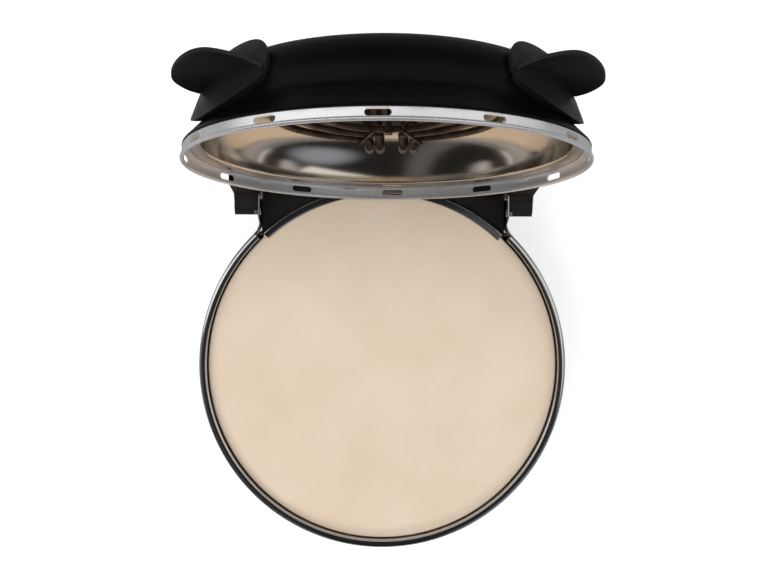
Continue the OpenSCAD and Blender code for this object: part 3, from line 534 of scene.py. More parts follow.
def carved(part, cutter):
    """The part less the cutter."""
    pieces = [bpy.data.objects.new("carving", solid_mesh("carving", shape)) for shape in (part, cutter)]
    for piece in pieces:
        bpy.context.scene.collection.objects.link(piece)
    cut = pieces[0].modifiers.new("cut", "BOOLEAN")
    cut.object = pieces[1]
    cut.solver = "EXACT"
    mesh = bpy.data.meshes.new_from_object(pieces[0].evaluated_get(bpy.context.evaluated_depsgraph_get()))
    result = [tuple(v.co) for v in mesh.vertices], [list(p.vertices) for p in mesh.polygons]
    for piece in pieces:
        bpy.data.objects.remove(piece)
    return result


def made(name, body, slot, part, place=BASE, replaces=(), edge=0.0, limit=35.0, steps=2, look=None):
    """One piece of the part, from points in millimetres in its own frame."""
    mesh = solid_mesh(name, part)
    local = mesh.attributes.new("local", "FLOAT_VECTOR", "POINT")
    local.data.foreach_set("vector", [c*MM for v in mesh.vertices for c in v.co])
    mesh.transform(Matrix.Scale(MM, 4) @ place)
    if place.determinant() < 0:
        mesh.flip_normals()
    mesh.shade_smooth()
    mesh.set_sharp_from_angle(angle=math.radians(limit))
    piece = bpy.data.objects.new(name, mesh)
    bpy.context.scene.collection.objects.link(piece)
    mesh.materials.append(LOOKS[look or slot].material)
    if edge:
        bevel = piece.modifiers.new("edges", "BEVEL")
        bevel.width = edge*MM
        bevel.segments = steps
        bevel.limit_method = "ANGLE"
        bevel.angle_limit = math.radians(limit)
        bevel.harden_normals = True
    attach(piece, body)
    if replaces:
        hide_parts(*replaces)
    return piece


def dress(node, slot):
    """A CAD node that is shown as it is, with its finish."""
    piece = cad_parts[node]
    mesh = piece.data
    mesh.materials.clear()
    mesh.materials.append(LOOKS[DARKENED.get(node, slot)].material)
    local = mesh.attributes.get("local") or mesh.attributes.new("local", "FLOAT_VECTOR", "POINT")
    inverse = (BAND if node in IN_BAND else LID if node in IN_LID else BASE).inverted()
    local.data.foreach_set("vector", [c*MM for v in mesh.vertices for c in inverse @ (v.co/MM)])


def screw_head(r, h, recess=0.62):
    """A domed head with a cross recess, its seat at zero and its axis along Z."""
    rings, n = 10, 48
    points = [(r*cos(360*k/n), r*sin(360*k/n), 0) for k in range(n)]
    points += [(r*cos(360*k/n), r*sin(360*k/n), 0.45*h) for k in range(n)]
    for i in range(1, rings):
        s = r*(1 - i/rings)
        for k in range(n):
            x, y = s*cos(360*k/n), s*sin(360*k/n)
            z = h*(0.45 + 0.55*math.sqrt(max(0, 1 - (s/r)**2)))
            near, far = min(abs(x), abs(y)), max(abs(x), abs(y))
            if near < 0.14*r and far < recess*r:
                z -= 0.55*h*min(1, (recess*r - far)/(0.2*r))
            points.append((x, y, z))
    points.append((0, 0, h - 0.55*h))
    faces = [list(range(n))[::-1]]
    for i in range(rings):
        a, b = i*n, (i + 1)*n
        faces += [[a + k, a + (k + 1) % n, b + (k + 1) % n, b + k] for k in range(n)]
    last = rings*n
    faces += [[last + k, last + (k + 1) % n, len(points) - 1] for k in range(n)]
    return points, faces


def along_x(x, y, z, sign=1):
    """A frame at a point whose Z runs along X."""
    return Matrix.Translation((x, y, z)) @ turn(90*sign, "Y")


def along_y(x, y, z, sign=1):
    return Matrix.Translation((x, y, z)) @ turn(-90*sign, "X")


# base
def build_stone():
    profile = ([(0, 0), (60, 0), (110, 0), (140, 0)] + arc((STONE_R - 1.5, -1.5), 1.5, 90, 0, 6)
               + arc((STONE_R - 1.8, -STONE_T + 1.8), 1.8, 0, -90, 6) + [(0, -STONE_T)])
    made("baking_stone", "base", "baking_stone", lathe(profile, 160, closed=False), replaces=["stone"])


def rim_section():
    corner = (RIM_OUT - RIM_ROUND, RIM_TOP - RIM_ROUND)
    return ([(RIM_IN, -10), (RIM_IN, RIM_TOP - 1)] + arc((RIM_IN + 1, RIM_TOP - 1), 1, 180, 90, 4)
            + arc(corner, RIM_ROUND, 90, 0, 12) + arc((RIM_OUT - 0.3, -RIM_DROP + 0.3), 0.3, 0, -90, 2)
            + [(RIM_OUT - SHEET, -RIM_DROP)] + arc(corner, RIM_ROUND - SHEET, 0, 90, 8)
            + [(RIM_IN + SHEET, RIM_TOP - SHEET), (RIM_IN + SHEET, -10)])


def strap_line():
    """The strap from above: out of the rim's wall, round the bend and back to the hinge."""
    overlap = 3.4
    line = arc(BEND, BEND_R + SHEET/2, 180 + BEND_A + overlap, 180, 14)
    back = PIVOT_Y + STRAP_EDGE
    return line + [(STRAP_X - SHEET/2, BEND[1] + (back - BEND[1])*i/40) for i in range(1, 41)]


def strap_top(y):
    """The height of the strap's upper edge at the place y."""
    rise = (PIVOT_Y - STUD_Y - 9, PIVOT_Y - STUD_Y - 4)
    if y <= rise[0]:
        return RIM_TOP
    if y <= rise[1]:
        t = (y - rise[0])/(rise[1] - rise[0])
        return RIM_TOP + (PIVOT_Z + STRAP_EDGE - RIM_TOP)*t*t*(3 - 2*t)
    return PIVOT_Z + math.sqrt(max(0, STRAP_EDGE**2 - max(0, y - PIVOT_Y)**2))


def strap():
    line = strap_line()
    outer, inner = [], []
    for i, p in enumerate(line):
        a, b = line[max(0, i - 1)], line[min(len(line) - 1, i + 1)]
        d = Vector((b[0] - a[0], b[1] - a[1])).normalized()
        n = Vector((d.y, -d.x))*(SHEET/2 - 0.02)
        rows = [-RIM_DROP + (strap_top(p[1]) + RIM_DROP)*j/8 for j in range(9)]
        outer.append([(p[0] + n.x, p[1] + n.y, z) for z in rows])
        inner.append([(p[0] - n.x, p[1] - n.y, z) for z in rows])
    return grid_slab(outer, inner)


def build_rim():
    made("steel_rim", "base", "polished_steel",
         join(lathe(rim_section(), 180, 180 - BEND_A, 180 + 2*BEND_A), strap(), moved(MIRRORED, strap())),
         replaces=["rim_band"], edge=0.25, limit=50)


def build_guard():
    r, w = STONE_R + 2.5, 7.0
    turn_a = math.degrees(math.asin((STRAP_X - 3.4)/r))
    profile = ([(r - w, 0.6), (r - w + 0.2, 1.3), (r - w + 0.8, 1.9), (r - w + 1.6, 2.2)]
               + [(r - 1.9, 3.3)] + arc((r - 1.1, 2.4), 1.1, 110, 0, 6)
               + [(r, -8), (r - 1, -8), (r - 1, 2.1), (r - 1.9, 2.2), (r - w + 1.2, 1.1), (r - w + 1, 0.6)])
    made("guard_strip_steel", "base", "polished_steel", lathe(profile, 80, 90 - turn_a, 2*turn_a),
         replaces=["guard_strip"])


def housing_outline(inset, front=0):
    """The housing from above: straight sides and back, and a front cut round the stone."""
    x, y, r, corner = HOUSE_X - inset, HOUSE_Y - inset, STONE_R + 3 + inset, HOUSE_ROUND
    out = (arc((x - corner, y - corner), corner, 0, 90, 6)
           + arc((-x + corner, y - corner), corner, 90, 180, 6))
    if front:
        a = math.degrees(math.asin(front/r))
        return out + [(-x, front)] + arc((0, 0), r, 180 - a, a, 48) + [(x, front)]
    a = math.degrees(math.acos(x/r))
    return out + arc((0, 0), r, 180 - a, a, 60)


def build_housing():
    made("rear_housing_shell", "base", "black_plastic", prism(housing_outline(0), HOUSE_LOW, HOUSE_HIGH),
         replaces=["rear_housing"], edge=1.0, limit=40, steps=3)
    made("rear_cover_plate", "base", "black_plastic", prism(housing_outline(0.2, COVER_FRONT), -3.35, -1.0),
         replaces=["rear_cover"], edge=0.7, limit=40, steps=3)
    heads = [moved(Matrix.Translation((s*97.5, 160.6, -1.6)), screw_head(3, 1.2)) for s in (-1, 1)]
    made("cover_screw_heads", "base", "screw_steel", join(*heads), replaces=["cover_screws"])


def knuckle_line():
    """The knuckle and the nose with the web between them, as [y, w] on rays from a point inside."""
    c = (153.0, 0.0)
    tip = turn(OPEN, "Z") @ Vector((*NOSE, 0))
    nose = (PIVOT_Y + tip.x, PIVOT_W + tip.y)
    discs = [((PIVOT_Y, PIVOT_W), KNUCKLE_R), (nose, NOSE_R)]
    web = [(PIVOT_Y + KNUCKLE_R, PIVOT_W), (nose[0] + NOSE_R, nose[1]),
           (nose[0] - NOSE_R, nose[1]), (PIVOT_Y - KNUCKLE_R, PIVOT_W)]

    def reach(a):
        d, best = (cos(a), sin(a)), 0
        for centre, r in discs:
            f = (c[0] - centre[0], c[1] - centre[1])
            b = f[0]*d[0] + f[1]*d[1]
            e = b*b - (f[0]**2 + f[1]**2 - r*r)
            if e > 0:
                best = max(best, -b + math.sqrt(e))
        for p, q in zip(web, web[1:] + web[:1]):
            v = (q[0] - p[0], q[1] - p[1])
            w = (p[0] - c[0], p[1] - c[1])
            det = d[0]*v[1] - d[1]*v[0]
            if abs(det) > 1e-9 and 0 <= (w[0]*d[1] - w[1]*d[0])/det <= 1:
                best = max(best, (w[0]*v[1] - w[1]*v[0])/det)
        return best

    line = [(c[0] + reach(a)*cos(a), c[1] + reach(a)*sin(a)) for a in (172 + 268*i/64 for i in range(65))]
    return [p for p in line if p[1] < ARM_FOOT or p[0] > PIVOT_Y]


def arm_top(y):
    """The height of the arm's upper edge: it rises from the knuckle and falls again past its bend."""
    back = PIVOT_Y - y
    return min(16 + 13*back/50, 29 - (back - 50)/10)


def arm_end(x, w):
    """Where the arm meets the bead and the dome's foot."""
    r, bead_top = BEAD_OUT + GAP, 10.8
    if w > bead_top:
        r = max(r + bead_top - w, WAIST_R + GAP + 0.037*max(0, WAIST_W - w)**2)
    return max(ARM_FRONT, math.sqrt(max(0, r*r - x*x)))


def hinge_arm():
    """The right arm: its side view lofted across, so that the inner end follows the dome."""
    knuckle = knuckle_line()
    foot_y = PIVOT_Y - math.sqrt(KNUCKLE_R**2 - (PIVOT_W - ARM_FOOT)**2)
    rows, count = [], 16
    for i in range(count + 1):
        x = ARM_X + ARM_W*i/count
        y_top = ARM_FRONT
        for step in range(12):
            y_top = arm_end(x, arm_top(y_top))
        w_top = arm_top(y_top)
        top = [(y, arm_top(y)) for y in (PIVOT_Y + (y_top - PIVOT_Y)*k/10 for k in range(11))]
        face = [(arm_end(x, w), w) for w in (w_top + (ARM_FOOT - w_top)*k/18 for k in range(1, 19))]
        low = face[-1][0]
        under = [(low + (foot_y - low)*k/8, ARM_FOOT) for k in range(1, 9)]
        rows.append([(x, y, w) for y, w in knuckle + top + face + under])
    return loft(rows)


def stud_pocket():
    """The space in which the stop stud passes the closing arm."""
    path_r, room = math.hypot(STUD_Y, STUD_Z), STUD_R + STUD_ROOM
    outline = arc((0, 0), path_r + room, 145, 205, 16) + arc((0, 0), path_r - room, 205, 145, 16)
    points, faces = prism(outline, ARM_X - 1, ARM_X + STUD_L)
    return [(x, PIVOT_Y + y, PIVOT_W + w) for y, w, x in points], faces


def build_hinges():
    arm = carved(hinge_arm(), stud_pocket())
    for name, place in SIDES:
        made("arm_" + name, "lid", "black_plastic", arm, place, ["hinge_arm_" + name],
             edge=1.1, limit=38, steps=3)
    rivet = lathe([(0, 0.9), (2.3, 0.9), (2.4, 2.0), (3.2, 2.5), (5.2, 2.5), (6.2, 2.0), (6.5, 1.2),
                   (6.5, 0), (0, 0)], 48, closed=False)
    shaft = lathe([(0, -1), (PIN_R, -1), (PIN_R, 21), (0, 21)], 48, closed=False)
    stud = lathe([(0, STUD_L), (STUD_R - 0.5, STUD_L), (STUD_R, STUD_L - 0.5), (STUD_R, -2.4), (0, -2.4)],
                 32, closed=False)
    head = lathe([(0, 0), (3.2, 0), (3.2, 0.6), (2.6, 1.1), (0, 1.1)], 32, closed=False)
    ring = lathe([(PIN_R + 0.05, 0.08), (7.4, 0.08), (7.6, 0.2), (7.6, 0.32), (7.4, 0.42),
                  (PIN_R + 0.05, 0.42)], 48)
    pins, heads, studs, washers = [], [], [], []
    for s in (-1, 1):
        out, back = STRAP_X + 0.1, STRAP_X - SHEET - 0.1
        pins.append(moved(along_x(s*back, PIVOT_Y, PIVOT_Z, -s), rivet))
        pins.append(moved(along_x(s*(STRAP_X - SHEET), PIVOT_Y, PIVOT_Z, s), shaft))
        for y in (STONE_R - 14.5, PIVOT_Y + 3):
            heads.append(moved(along_x(s*out, y, -11, s), screw_head(3.5, 1.7)))
        studs.append(moved(along_x(s*STRAP_X, PIVOT_Y - STUD_Y, PIVOT_Z + STUD_Z, s), stud))
        studs.append(moved(along_x(s*back, PIVOT_Y - STUD_Y, PIVOT_Z + STUD_Z, -s), head))
        washers.append(moved(along_x(s*STRAP_X, PIVOT_Y, PIVOT_Z, s), ring))
    made("hinge_rivets", "base", "screw_steel", join(*pins), replaces=["hinge_pins"])
    made("strap_screw_heads", "base", "screw_steel", join(*heads), replaces=["strap_screws"])
    made("stop_pins", "base", "screw_steel", join(*studs), replaces=["stop_studs"])
    made("hinge_rings", "base", "screw_steel", join(*washers), replaces=["hinge_washers"])


# controls and feet
def on_panel(x, off):
    """A frame on the panel's face, this far in front of it, whose Z runs to the front."""
    return along_y(x, PANEL_Y - off, PANEL_Z, -1)


def build_controls():
    w, h, r = PANEL_X - PANEL_ROUND, PANEL_H/2 - PANEL_ROUND, PANEL_ROUND
    outline = []
    for i, corner in enumerate(((w, h), (-w, h), (-w, -h), (w, -h))):
        outline += arc(corner, r, 90*i, 90*i + 90, 6)
    made("panel_front", "base", "black_plastic",
         moved(along_y(0, PANEL_Y, PANEL_Z) @ Matrix.Diagonal((1, -1, 1, 1)), prism(outline, 0, 14)),
         replaces=["control_panel"], edge=1.2, limit=50, steps=3)
    marks = []
    for i in range(11):
        length = 3.2 if i % 5 == 0 else 2.0
        tick = block(-0.45, 0.45, 18.6, 18.6 + length, 0, 0.12)
        marks.append(moved(on_panel(0, -0.02) @ turn(27*i - 135, "Z"), tick))
    made("scale_marks", "base", "black_plastic", join(*marks), look="white_mark")
    heads = [moved(on_panel(x, 0.1), screw_head(2.6, 1.4)) for x in (-11, 11)]
    made("panel_screw_heads", "base", "screw_steel", join(*heads), replaces=["thermostat_screws"])
    lamp = lathe([(0, 1.6), (1.8, 1.52), (3.2, 1.2), (3.9, 0.75), (4.6, 0.65), (4.7, 0.35), (4.7, 0),
                  (3.5, 0), (3.5, -3), (0, -3)], 40, closed=False)
    for name, x, slot in (("power", -LAMP_X, "red_lens"), ("ready", LAMP_X, "green_lens")):
        made(name + "_lamp", "base", slot, moved(on_panel(x, 0.05), lamp), replaces=[name + "_lens"])


def build_knob():
    place = BASE @ on_panel(0, 2)
    skirt = lathe([(0, 4.6), (11.6, 4.6), (12.4, 4.4), (14.6, 3.8), (16.0, 2.6), (16.5, 1.2), (16.5, 0.3),
                   (16.2, 0), (14.5, 0), (14.5, 2), (3.1, 2), (3.1, 9), (0, 9)], 96, closed=False)
    drum = lathe([(0, 10.8), (10.6, 10.8), (11.7, 10.4), (12.2, 9.6), (12.5, 4.2), (0, 4.2)],
                 96, closed=False)
    rise = ((1.0, 4.0), (1.0, 11.0), (0.82, 12.9), (0.5, 13.8))
    section = [(-x, z) for x, z in rise] + [(0, 14.0)] + list(rise[::-1])
    grip = []
    for i in range(25):
        t = -1 + 2*i/24
        half = 4.5*(1 - 0.28*(1 - t*t))
        grip.append([(x*half, t*13.5, z) for x, z in section])
    made("dial_knob", "knob", "black_plastic", join(skirt, drum, loft(grip)), place, ["control_knob"],
         edge=0.5, limit=50, steps=2)
    made("knob_pointer", "knob", "black_plastic", block(-0.55, 0.55, 4.5, 12.9, 13.2, 14.0), place,
         look="white_mark", edge=0.15, limit=50)


def build_feet():
    parts, pads = [], []
    for a in FOOT_TURNS:
        at = Matrix.Translation((FOOT_PLACE*cos(a), FOOT_PLACE*sin(a), -STONE_TOP))
        body = lathe([(8.6, 1.0), (9.6, 1.0), (10.3, 1.5), (11.6, 8.6), (11.9, 11.2), (11.9, 12.5),
                      (0, 12.5), (0, 3.2), (8.6, 3.2)], 64)
        parts.append(moved(at, body))
        pad = lathe([(0, 0.25), (3.0, 0.25), (3.4, 0.0), (7.6, 0.0), (8.3, 0.3), (8.6, 0.9), (8.6, 3.0),
                     (0, 3.0)], 64, closed=False)
        pads.append(moved(at, pad))
    made("foot_cups", "base", "black_plastic", join(*parts), replaces=["feet"])
    made("foot_rubbers", "base", "rubber_pad", join(*pads), replaces=["foot_pads"])


# lid
def dome_line(d):
    """The dome's outline as [r, w], moved out by d: a flared foot, a waist, a shoulder and a crown."""
    line = arc((EDGE_R - EDGE_SOFT, EDGE_W - EDGE_SOFT*HALF_BEND), EDGE_SOFT + d, 0, 45, 6)
    line += arc((WAIST_R + FLARE_BEND, WAIST_W), FLARE_BEND - d, 225, 180, 12)
    line += arc((SHOULDER_C, SHOULDER_W), SHOULDER_R + d, 0, SHOULDER_END, 24)
    line += arc((0, CROWN_W), CROWN_R + d, SHOULDER_END + 0.6, 90, 16)
    return line


def build_dome():
    outer = dome_line(0)
    inner = dome_line(-DOME_T)
    edge = arc((EDGE_R - DOME_T/2, MIRROR_LOW + DOME_T/2), DOME_T/2, 180, 360, 8)
    profile = inner[::-1] + edge + outer[1:]
    made("dome_shell", "lid", "dome_paint", lathe(profile, 200, closed=False), LID, ["lid_dome"], limit=60)


def slot_loop():
    """The outline of a slot as [s, w] about its middle."""
    half, r = (SLOT_L - SLOT_H)/2, SLOT_H/2
    return arc((half, 0), r, -90, 90, 15) + arc((-half, 0), r, 90, 270, 15)


def build_band():
    """The band's wall with its slots, its rolled edge and its inner flange."""
    low, high = BEAD_R - SLOT_W, BAND_H - BAND_T - SLOT_W
    sector = 2*math.pi*BAND_R/SLOTS
    inside, rings = BAND_R - BAND_T, 5
    loop = slot_loop()

    def wrap(p, r, middle):
        a = math.radians(middle) + p[0]/BAND_R
        return (r*math.cos(a), r*math.sin(a), SLOT_W + p[1])

    def on_edge(p):
        """The point of the sector's rectangle in the direction of the slot's outline."""
        k = sector/2/max(abs(p[0]), 1e-9)
        if abs(p[1]) > 1e-9:
            k = min(k, (high if p[1] > 0 else low)/p[1])
        return (p[0]*k, p[1]*k)

    rim = [on_edge(p) for p in loop]
    for corner in [(x*sector/2, w) for x in (-1, 1) for w in (low, high)]:
        rim[min(range(len(loop)), key=lambda q: math.dist(rim[q], corner))] = corner
    parts = []
    for i in range(SLOTS):
        middle = 90 - 360/SLOTS*i
        for r in (BAND_R, inside):
            steps = [(q/rings)**1.5 for q in range(rings + 1)]
            parts.append(loft([[wrap((p[0] + (o[0] - p[0])*t, p[1] + (o[1] - p[1])*t), r, middle)
                                for p, o in zip(loop, rim)] for t in steps], False))
        parts.append(loft([[wrap(p, r, middle) for p in loop] for r in (BAND_R, inside)], False))
    top = BAND_H - BAND_T
    flange = ([(BAND_R - FLANGE, top), (inside, top), (BAND_R, top)]
              + arc((BAND_R - FLANGE_ROUND, BAND_H - FLANGE_ROUND), FLANGE_ROUND, 0, 90, 4)
              + [(BAND_R - FLANGE, BAND_H)])
    parts.append(lathe(flange, 240))
    parts.append(lathe(arc((BEAD_OUT - BEAD_R, BEAD_R), BEAD_R, 90, 450, 24)[:-1], 240))
    made("band_ring", "lid", "brushed_band", join(*parts), BAND, ["lid_band"], limit=60)


def mirror_profile():
    """A flange on the band, a low step up to the bowl's rolled lip, and the bowl."""
    bend_at, start = BAND_R - 7, 4
    lip = [(MIRROR_EDGE, MIRROR_LOW + MIRROR_T), (MIRROR_EDGE, MIRROR_LOW), (bend_at, MIRROR_LOW)]
    bowl = arc((MIRROR_R + 1.6, MIRROR_W + 1.4), 1.6, 258, 180, 8)
    bowl += arc((MIRROR_C, MIRROR_W), MIRROR_S, start, SHOULDER_END, 30)
    bowl += arc((0, MIRROR_CROWN_W), MIRROR_CROWN, SHOULDER_END + 0.6, 90, 16)
    back = arc((MIRROR_C, MIRROR_W), MIRROR_S + MIRROR_T, start, SHOULDER_END, 30)
    back += arc((0, MIRROR_CROWN_W), MIRROR_CROWN + MIRROR_T, SHOULDER_END + 0.6, 90, 16)
    return (lip + bowl + back[::-1] + [(MIRROR_R + 2.4, MIRROR_W + MIRROR_T),
                                       (bend_at, MIRROR_LOW + MIRROR_T)])


def build_reflector():
    made("reflector_bowl", "lid", "mirror_steel", lathe(mirror_profile(), 200), BAND, ["lid_reflector"],
         limit=60)


def ring_points(r, a0, a1, n):
    return [(x, y, TUBE_W) for x, y in arc((0, 0), r, a0, a1, n)]


def with_legs(ring, leg, bend, skip):
    """A heating tube's first half: in from the back along the leg, round the corner and into its ring."""
    start = (-leg, LEG_END, TUBE_W)
    return [start] + rounded_path([start, ring[0], ring[skip]], bend, 6)[1:-1] + ring[skip:]


def mirrored(path):
    return [(-x, y, z) for x, y, z in path[::-1]]


def outer_path():
    """The outer element: a leg in from the back, round the loop and a leg out again."""
    a, n = math.degrees(math.asin(OUTER_LEG/OUTER_LOOP)), 60
    skip = round(OUTER_BEND*1.4/(math.pi*OUTER_LOOP/n))
    half = with_legs(ring_points(OUTER_LOOP, 90 + a, 270, n), OUTER_LEG, OUTER_BEND, skip)
    return half + mirrored(half)[1:]


def inner_path():
    """The inner element: legs, the middle loop, the turns near the front and the inner loop."""
    a, end = math.degrees(math.asin(INNER_LEG/MIDDLE_LOOP)), 270 - TURN_AT
    turn_r = (MIDDLE_LOOP - INNER_LOOP)/2
    half = with_legs(ring_points(MIDDLE_LOOP, 90 + a, end, 44), INNER_LEG, INNER_BEND, 2)
    middle = ((INNER_LOOP + turn_r)*cos(end), (INNER_LOOP + turn_r)*sin(end))
    half += [(x, y, TUBE_W) for x, y in arc(middle, turn_r, end, end + 180, 12)[1:-1]]
    return half + ring_points(INNER_LOOP, end, end - 360 + 2*TURN_AT, 84) + mirrored(half)


def build_elements():
    for name, path in (("outer", outer_path()), ("inner", inner_path())):
        made(name + "_tube", "lid", "element_tube", tube(path, TUBE_R, 20), BAND, [name + "_element"],
             limit=60)


# handles: a in degrees past the saddle's front end, w in millimetres up the dome
SADDLE_FRONT, SADDLE_T, SADDLE_LEAN = 35.2, 4.0, 46.0
SADDLE_EDGE = [         # a, lower w, upper w
    (1.4, 46.5, 51), (1.9, 42.5, 57), (3.3, 37.5, 61), (6.5, 33.5, 64.2), (10.5, 29.2, 66),
    (15, 25.4, 66.4), (20, 22.4, 65.4), (26, 20.6, 62.3), (32, 21, 57.5), (38, 24.5, 52),
    (42.5, 30, 47.5), (45.5, 36, 42)]
WING_ROOT = [           # a, w
    (2.2, 46.4), (3.6, 47.6), (5.8, 49.5), (8, 51.2), (10, 52.2), (12, 52.5), (14.5, 52.5),
    (18, 52.3), (22, 52.2), (26, 52.2), (30, 51.6), (33.5, 49), (36, 46.8)]
WING_EDGE = [           # a, share of the wing's reach, w
    (2, 0.15, 47), (3, 0.19, 49), (4.6, 0.26, 51.5), (6.5, 0.41, 54.4), (8.5, 0.54, 56.3),
    (10.4, 0.73, 57.9), (12.6, 0.91, 58.7), (16.2, 1, 58.3), (21.9, 1, 56.2),
    (28, 0.92, 52.5), (31, 0.78, 49), (33.3, 0.49, 46), (36, 0.18, 45.5)]
WING_REACH, WING_T = 37.7, 3.0
SKIRT_START, SKIRT_SPAN, SKIRT_GAP = 0.12, 0.86, 0.35


def sheet(point, n, m, high, low):
    """A closed slab between two surfaces, each the points at u, v and a height."""
    return grid_slab(*[[[point(i/n, j/m, d) for j in range(m + 1)] for i in range(n + 1)]
                       for d in (high, low)])


def smooth(p, u):
    """A smooth curve through the points p, with u from 0 to 1."""
    n = len(p) - 1
    k = min(int(math.floor(u*n)), n - 1)
    f = u*n - k
    near = (p[max(k - 1, 0)], p[k], p[k + 1], p[min(k + 2, n)])
    return tuple((2*b + (c - a)*f + (2*a - 5*b + 4*c - d)*f*f + (3*b - a - 3*c + d)*f**3)/2
                 for a, b, c, d in zip(*near))


def on_dome(a, w, d):
    """A point that stands off the dome by d, at the angle a and the height w of the dome's wall."""
    e = math.degrees(math.asin(min(max(w - SHOULDER_W, 0)/SHOULDER_R, 1)))
    r = SHOULDER_C + (SHOULDER_R + d)*cos(e)
    return (r*sin(SADDLE_FRONT + a), -r*cos(SADDLE_FRONT + a), w + d*sin(e))


def stand_off(w):
    return GAP + 0.35*max(SADDLE_LEAN - w, 0) + 0.32*max(w - SADDLE_LEAN - 6, 0)


def saddle_point(u, v, d):
    a, low, high = smooth(SADDLE_EDGE, u)
    w = low + (high - low)*v
    return on_dome(a, w, stand_off(w) + d)


def wing_point(u, v, d):
    a, w = smooth(WING_ROOT, u)
    root = Vector(on_dome(a, w, stand_off(w) + SADDLE_T/2))
    tip = smooth(WING_EDGE, u)
    r, a = WAIST_R + WING_REACH*tip[1], SADDLE_FRONT + tip[0]
    edge = Vector((r*sin(a), -r*cos(a), tip[2]))
    return tuple(root.lerp(edge, v) + Vector((0, 0, d + 2*sin(180*v)*sin(180*u))))


def skirt_point(u, inner, up):
    """The skirt that closes the gap between the saddle's lower edge and the dome."""
    a, low, high = smooth(SADDLE_EDGE, SKIRT_START + SKIRT_SPAN*u)
    w = low + up
    drop, bend = max(0, WAIST_W - w), FLARE_BEND*sin(45)
    if not inner:
        d = stand_off(w) + 1.2
    elif drop < bend:
        d = FLARE_BEND - math.sqrt(FLARE_BEND**2 - drop**2) + SKIRT_GAP
    else:
        d = FLARE_BEND*(1 - cos(45)) + drop - bend + SKIRT_GAP
    return on_dome(a, w, d)


def build_handles():
    grip = join(sheet(saddle_point, 66, 14, SADDLE_T, 0), sheet(skirt_point, 66, 1, 0.2, 2.2),
                sheet(wing_point, 72, 14, WING_T/2, -WING_T/2))
    for name, place in SIDES:
        made("grip_" + name, "lid", "handle_plastic", grip, place, ["handle_" + name],
             edge=0.9, limit=50, steps=3)


# CAD nodes that are shown as they are
IN_BAND = ("lid_insulation", "element_brackets", "centre_clip", "upper_terminals", "terminal_tabs")
IN_LID = ("lid_leads", "arm_screws", "handle_screws")
# pieces drawn darker than their carried finish: heat-scaled steel, and the upper terminals in dark
# grey-brown ceramic while the lower terminals stay white
DARKENED = {
    "element_brackets": "scaled_steel", "centre_clip": "scaled_steel", "terminal_tabs": "scaled_steel",
    "lower_clips": "scaled_steel", "upper_terminals": "dark_ceramic",
}
CARRIED = {
    "base_pan": "black_enamel", "bottom_plate": "zinc_plate", "plate_screws": "screw_steel",
    "foot_screws": "screw_steel", "foot_nuts": "screw_steel", "lower_reflector": "mirror_steel",
    "tray_posts": "screw_steel", "tray_screws": "screw_steel", "lower_element": "element_tube",
    "lower_clips": "screw_steel", "lower_terminals": "white_ceramic", "lower_insulation": "mineral_wool",
    "thermal_cutout": "black_plastic", "sensor_tube": "copper_tube", "cord_gland": "black_plastic",
    "terminal_block": "white_ceramic", "base_leads": "lead_sleeve", "thermostat": "white_ceramic",
    "lamp_holders": "white_ceramic", "thermostat_shaft": "screw_steel", "lid_insulation": "mineral_wool",
    "element_brackets": "screw_steel", "centre_clip": "screw_steel", "upper_terminals": "white_ceramic",
    "terminal_tabs": "screw_steel", "lid_leads": "lead_sleeve", "arm_screws": "screw_steel",
    "handle_screws": "screw_steel",
}

build_stone()
build_rim()
build_guard()
build_housing()
build_hinges()
build_controls()
build_knob()
build_feet()
build_dome()
build_band()
build_reflector()
build_elements()
build_handles()
for carried, finish in CARRIED.items():
    dress(carried, finish)


# studio
def ranged(tree, source, low, high, at_low, at_high):
    """A smooth step of the source from one value to another."""
    made = tree.nodes.new("ShaderNodeMapRange")
    made.interpolation_type = "SMOOTHSTEP"
    tree.links.new(source, made.inputs["Value"])
    for name, value in (("From Min", low), ("From Max", high), ("To Min", at_low), ("To Max", at_high)):
        made.inputs[name].default_value = value
    return made.outputs["Result"]


def area_light(name, place, aim, size, power):
    """A soft lamp that the steel doesn't mirror."""
    data = bpy.data.lights.new(name, "AREA")
    data.shape = "RECTANGLE"
    data.size, data.size_y = size
    data.energy = power
    lamp = bpy.data.objects.new(name, data)
    lamp.visible_glossy = False
    lamp.location = place
    lamp.rotation_mode = "QUATERNION"
    lamp.rotation_quaternion = (Vector(aim) - Vector(place)).to_track_quat("-Z", "Y")
    bpy.context.scene.collection.objects.link(lamp)


def build_floor():
    """A pale sheet that is white to the camera and dimmer in the steel's reflections."""
    mesh = bpy.data.meshes.new("floor")
    mesh.from_pydata([(-6, -6, 0), (6, -6, 0), (6, 6, 0), (-6, 6, 0)], [], [[0, 1, 2, 3]])
    floor = bpy.data.objects.new("floor", mesh)
    bpy.context.scene.collection.objects.link(floor)
    m = Look("pale_floor", (0.8, 0.8, 0.8), 0.9, Specular_IOR_Level=0.0, Emission_Color=(1, 1, 1, 1))
    path = m.node("ShaderNodeLightPath").outputs
    colour = mixed(m.tree, path["Is Glossy Ray"], (0.8, 0.8, 0.8, 1), (0.42, 0.42, 0.42, 1))
    m.link(colour, m.shader.inputs["Base Color"])
    away = m.node("ShaderNodeVectorMath", operation="LENGTH")
    m.link(m.node("ShaderNodeTexCoord").outputs["Object"], away.inputs[0])
    glow = ranged(m.tree, away.outputs["Value"], 0.8, 2.4, 0.55, 1.0)
    m.link(maths(m.tree, "MULTIPLY", path["Is Camera Ray"], glow), m.shader.inputs["Emission Strength"])
    mesh.materials.append(m.material)


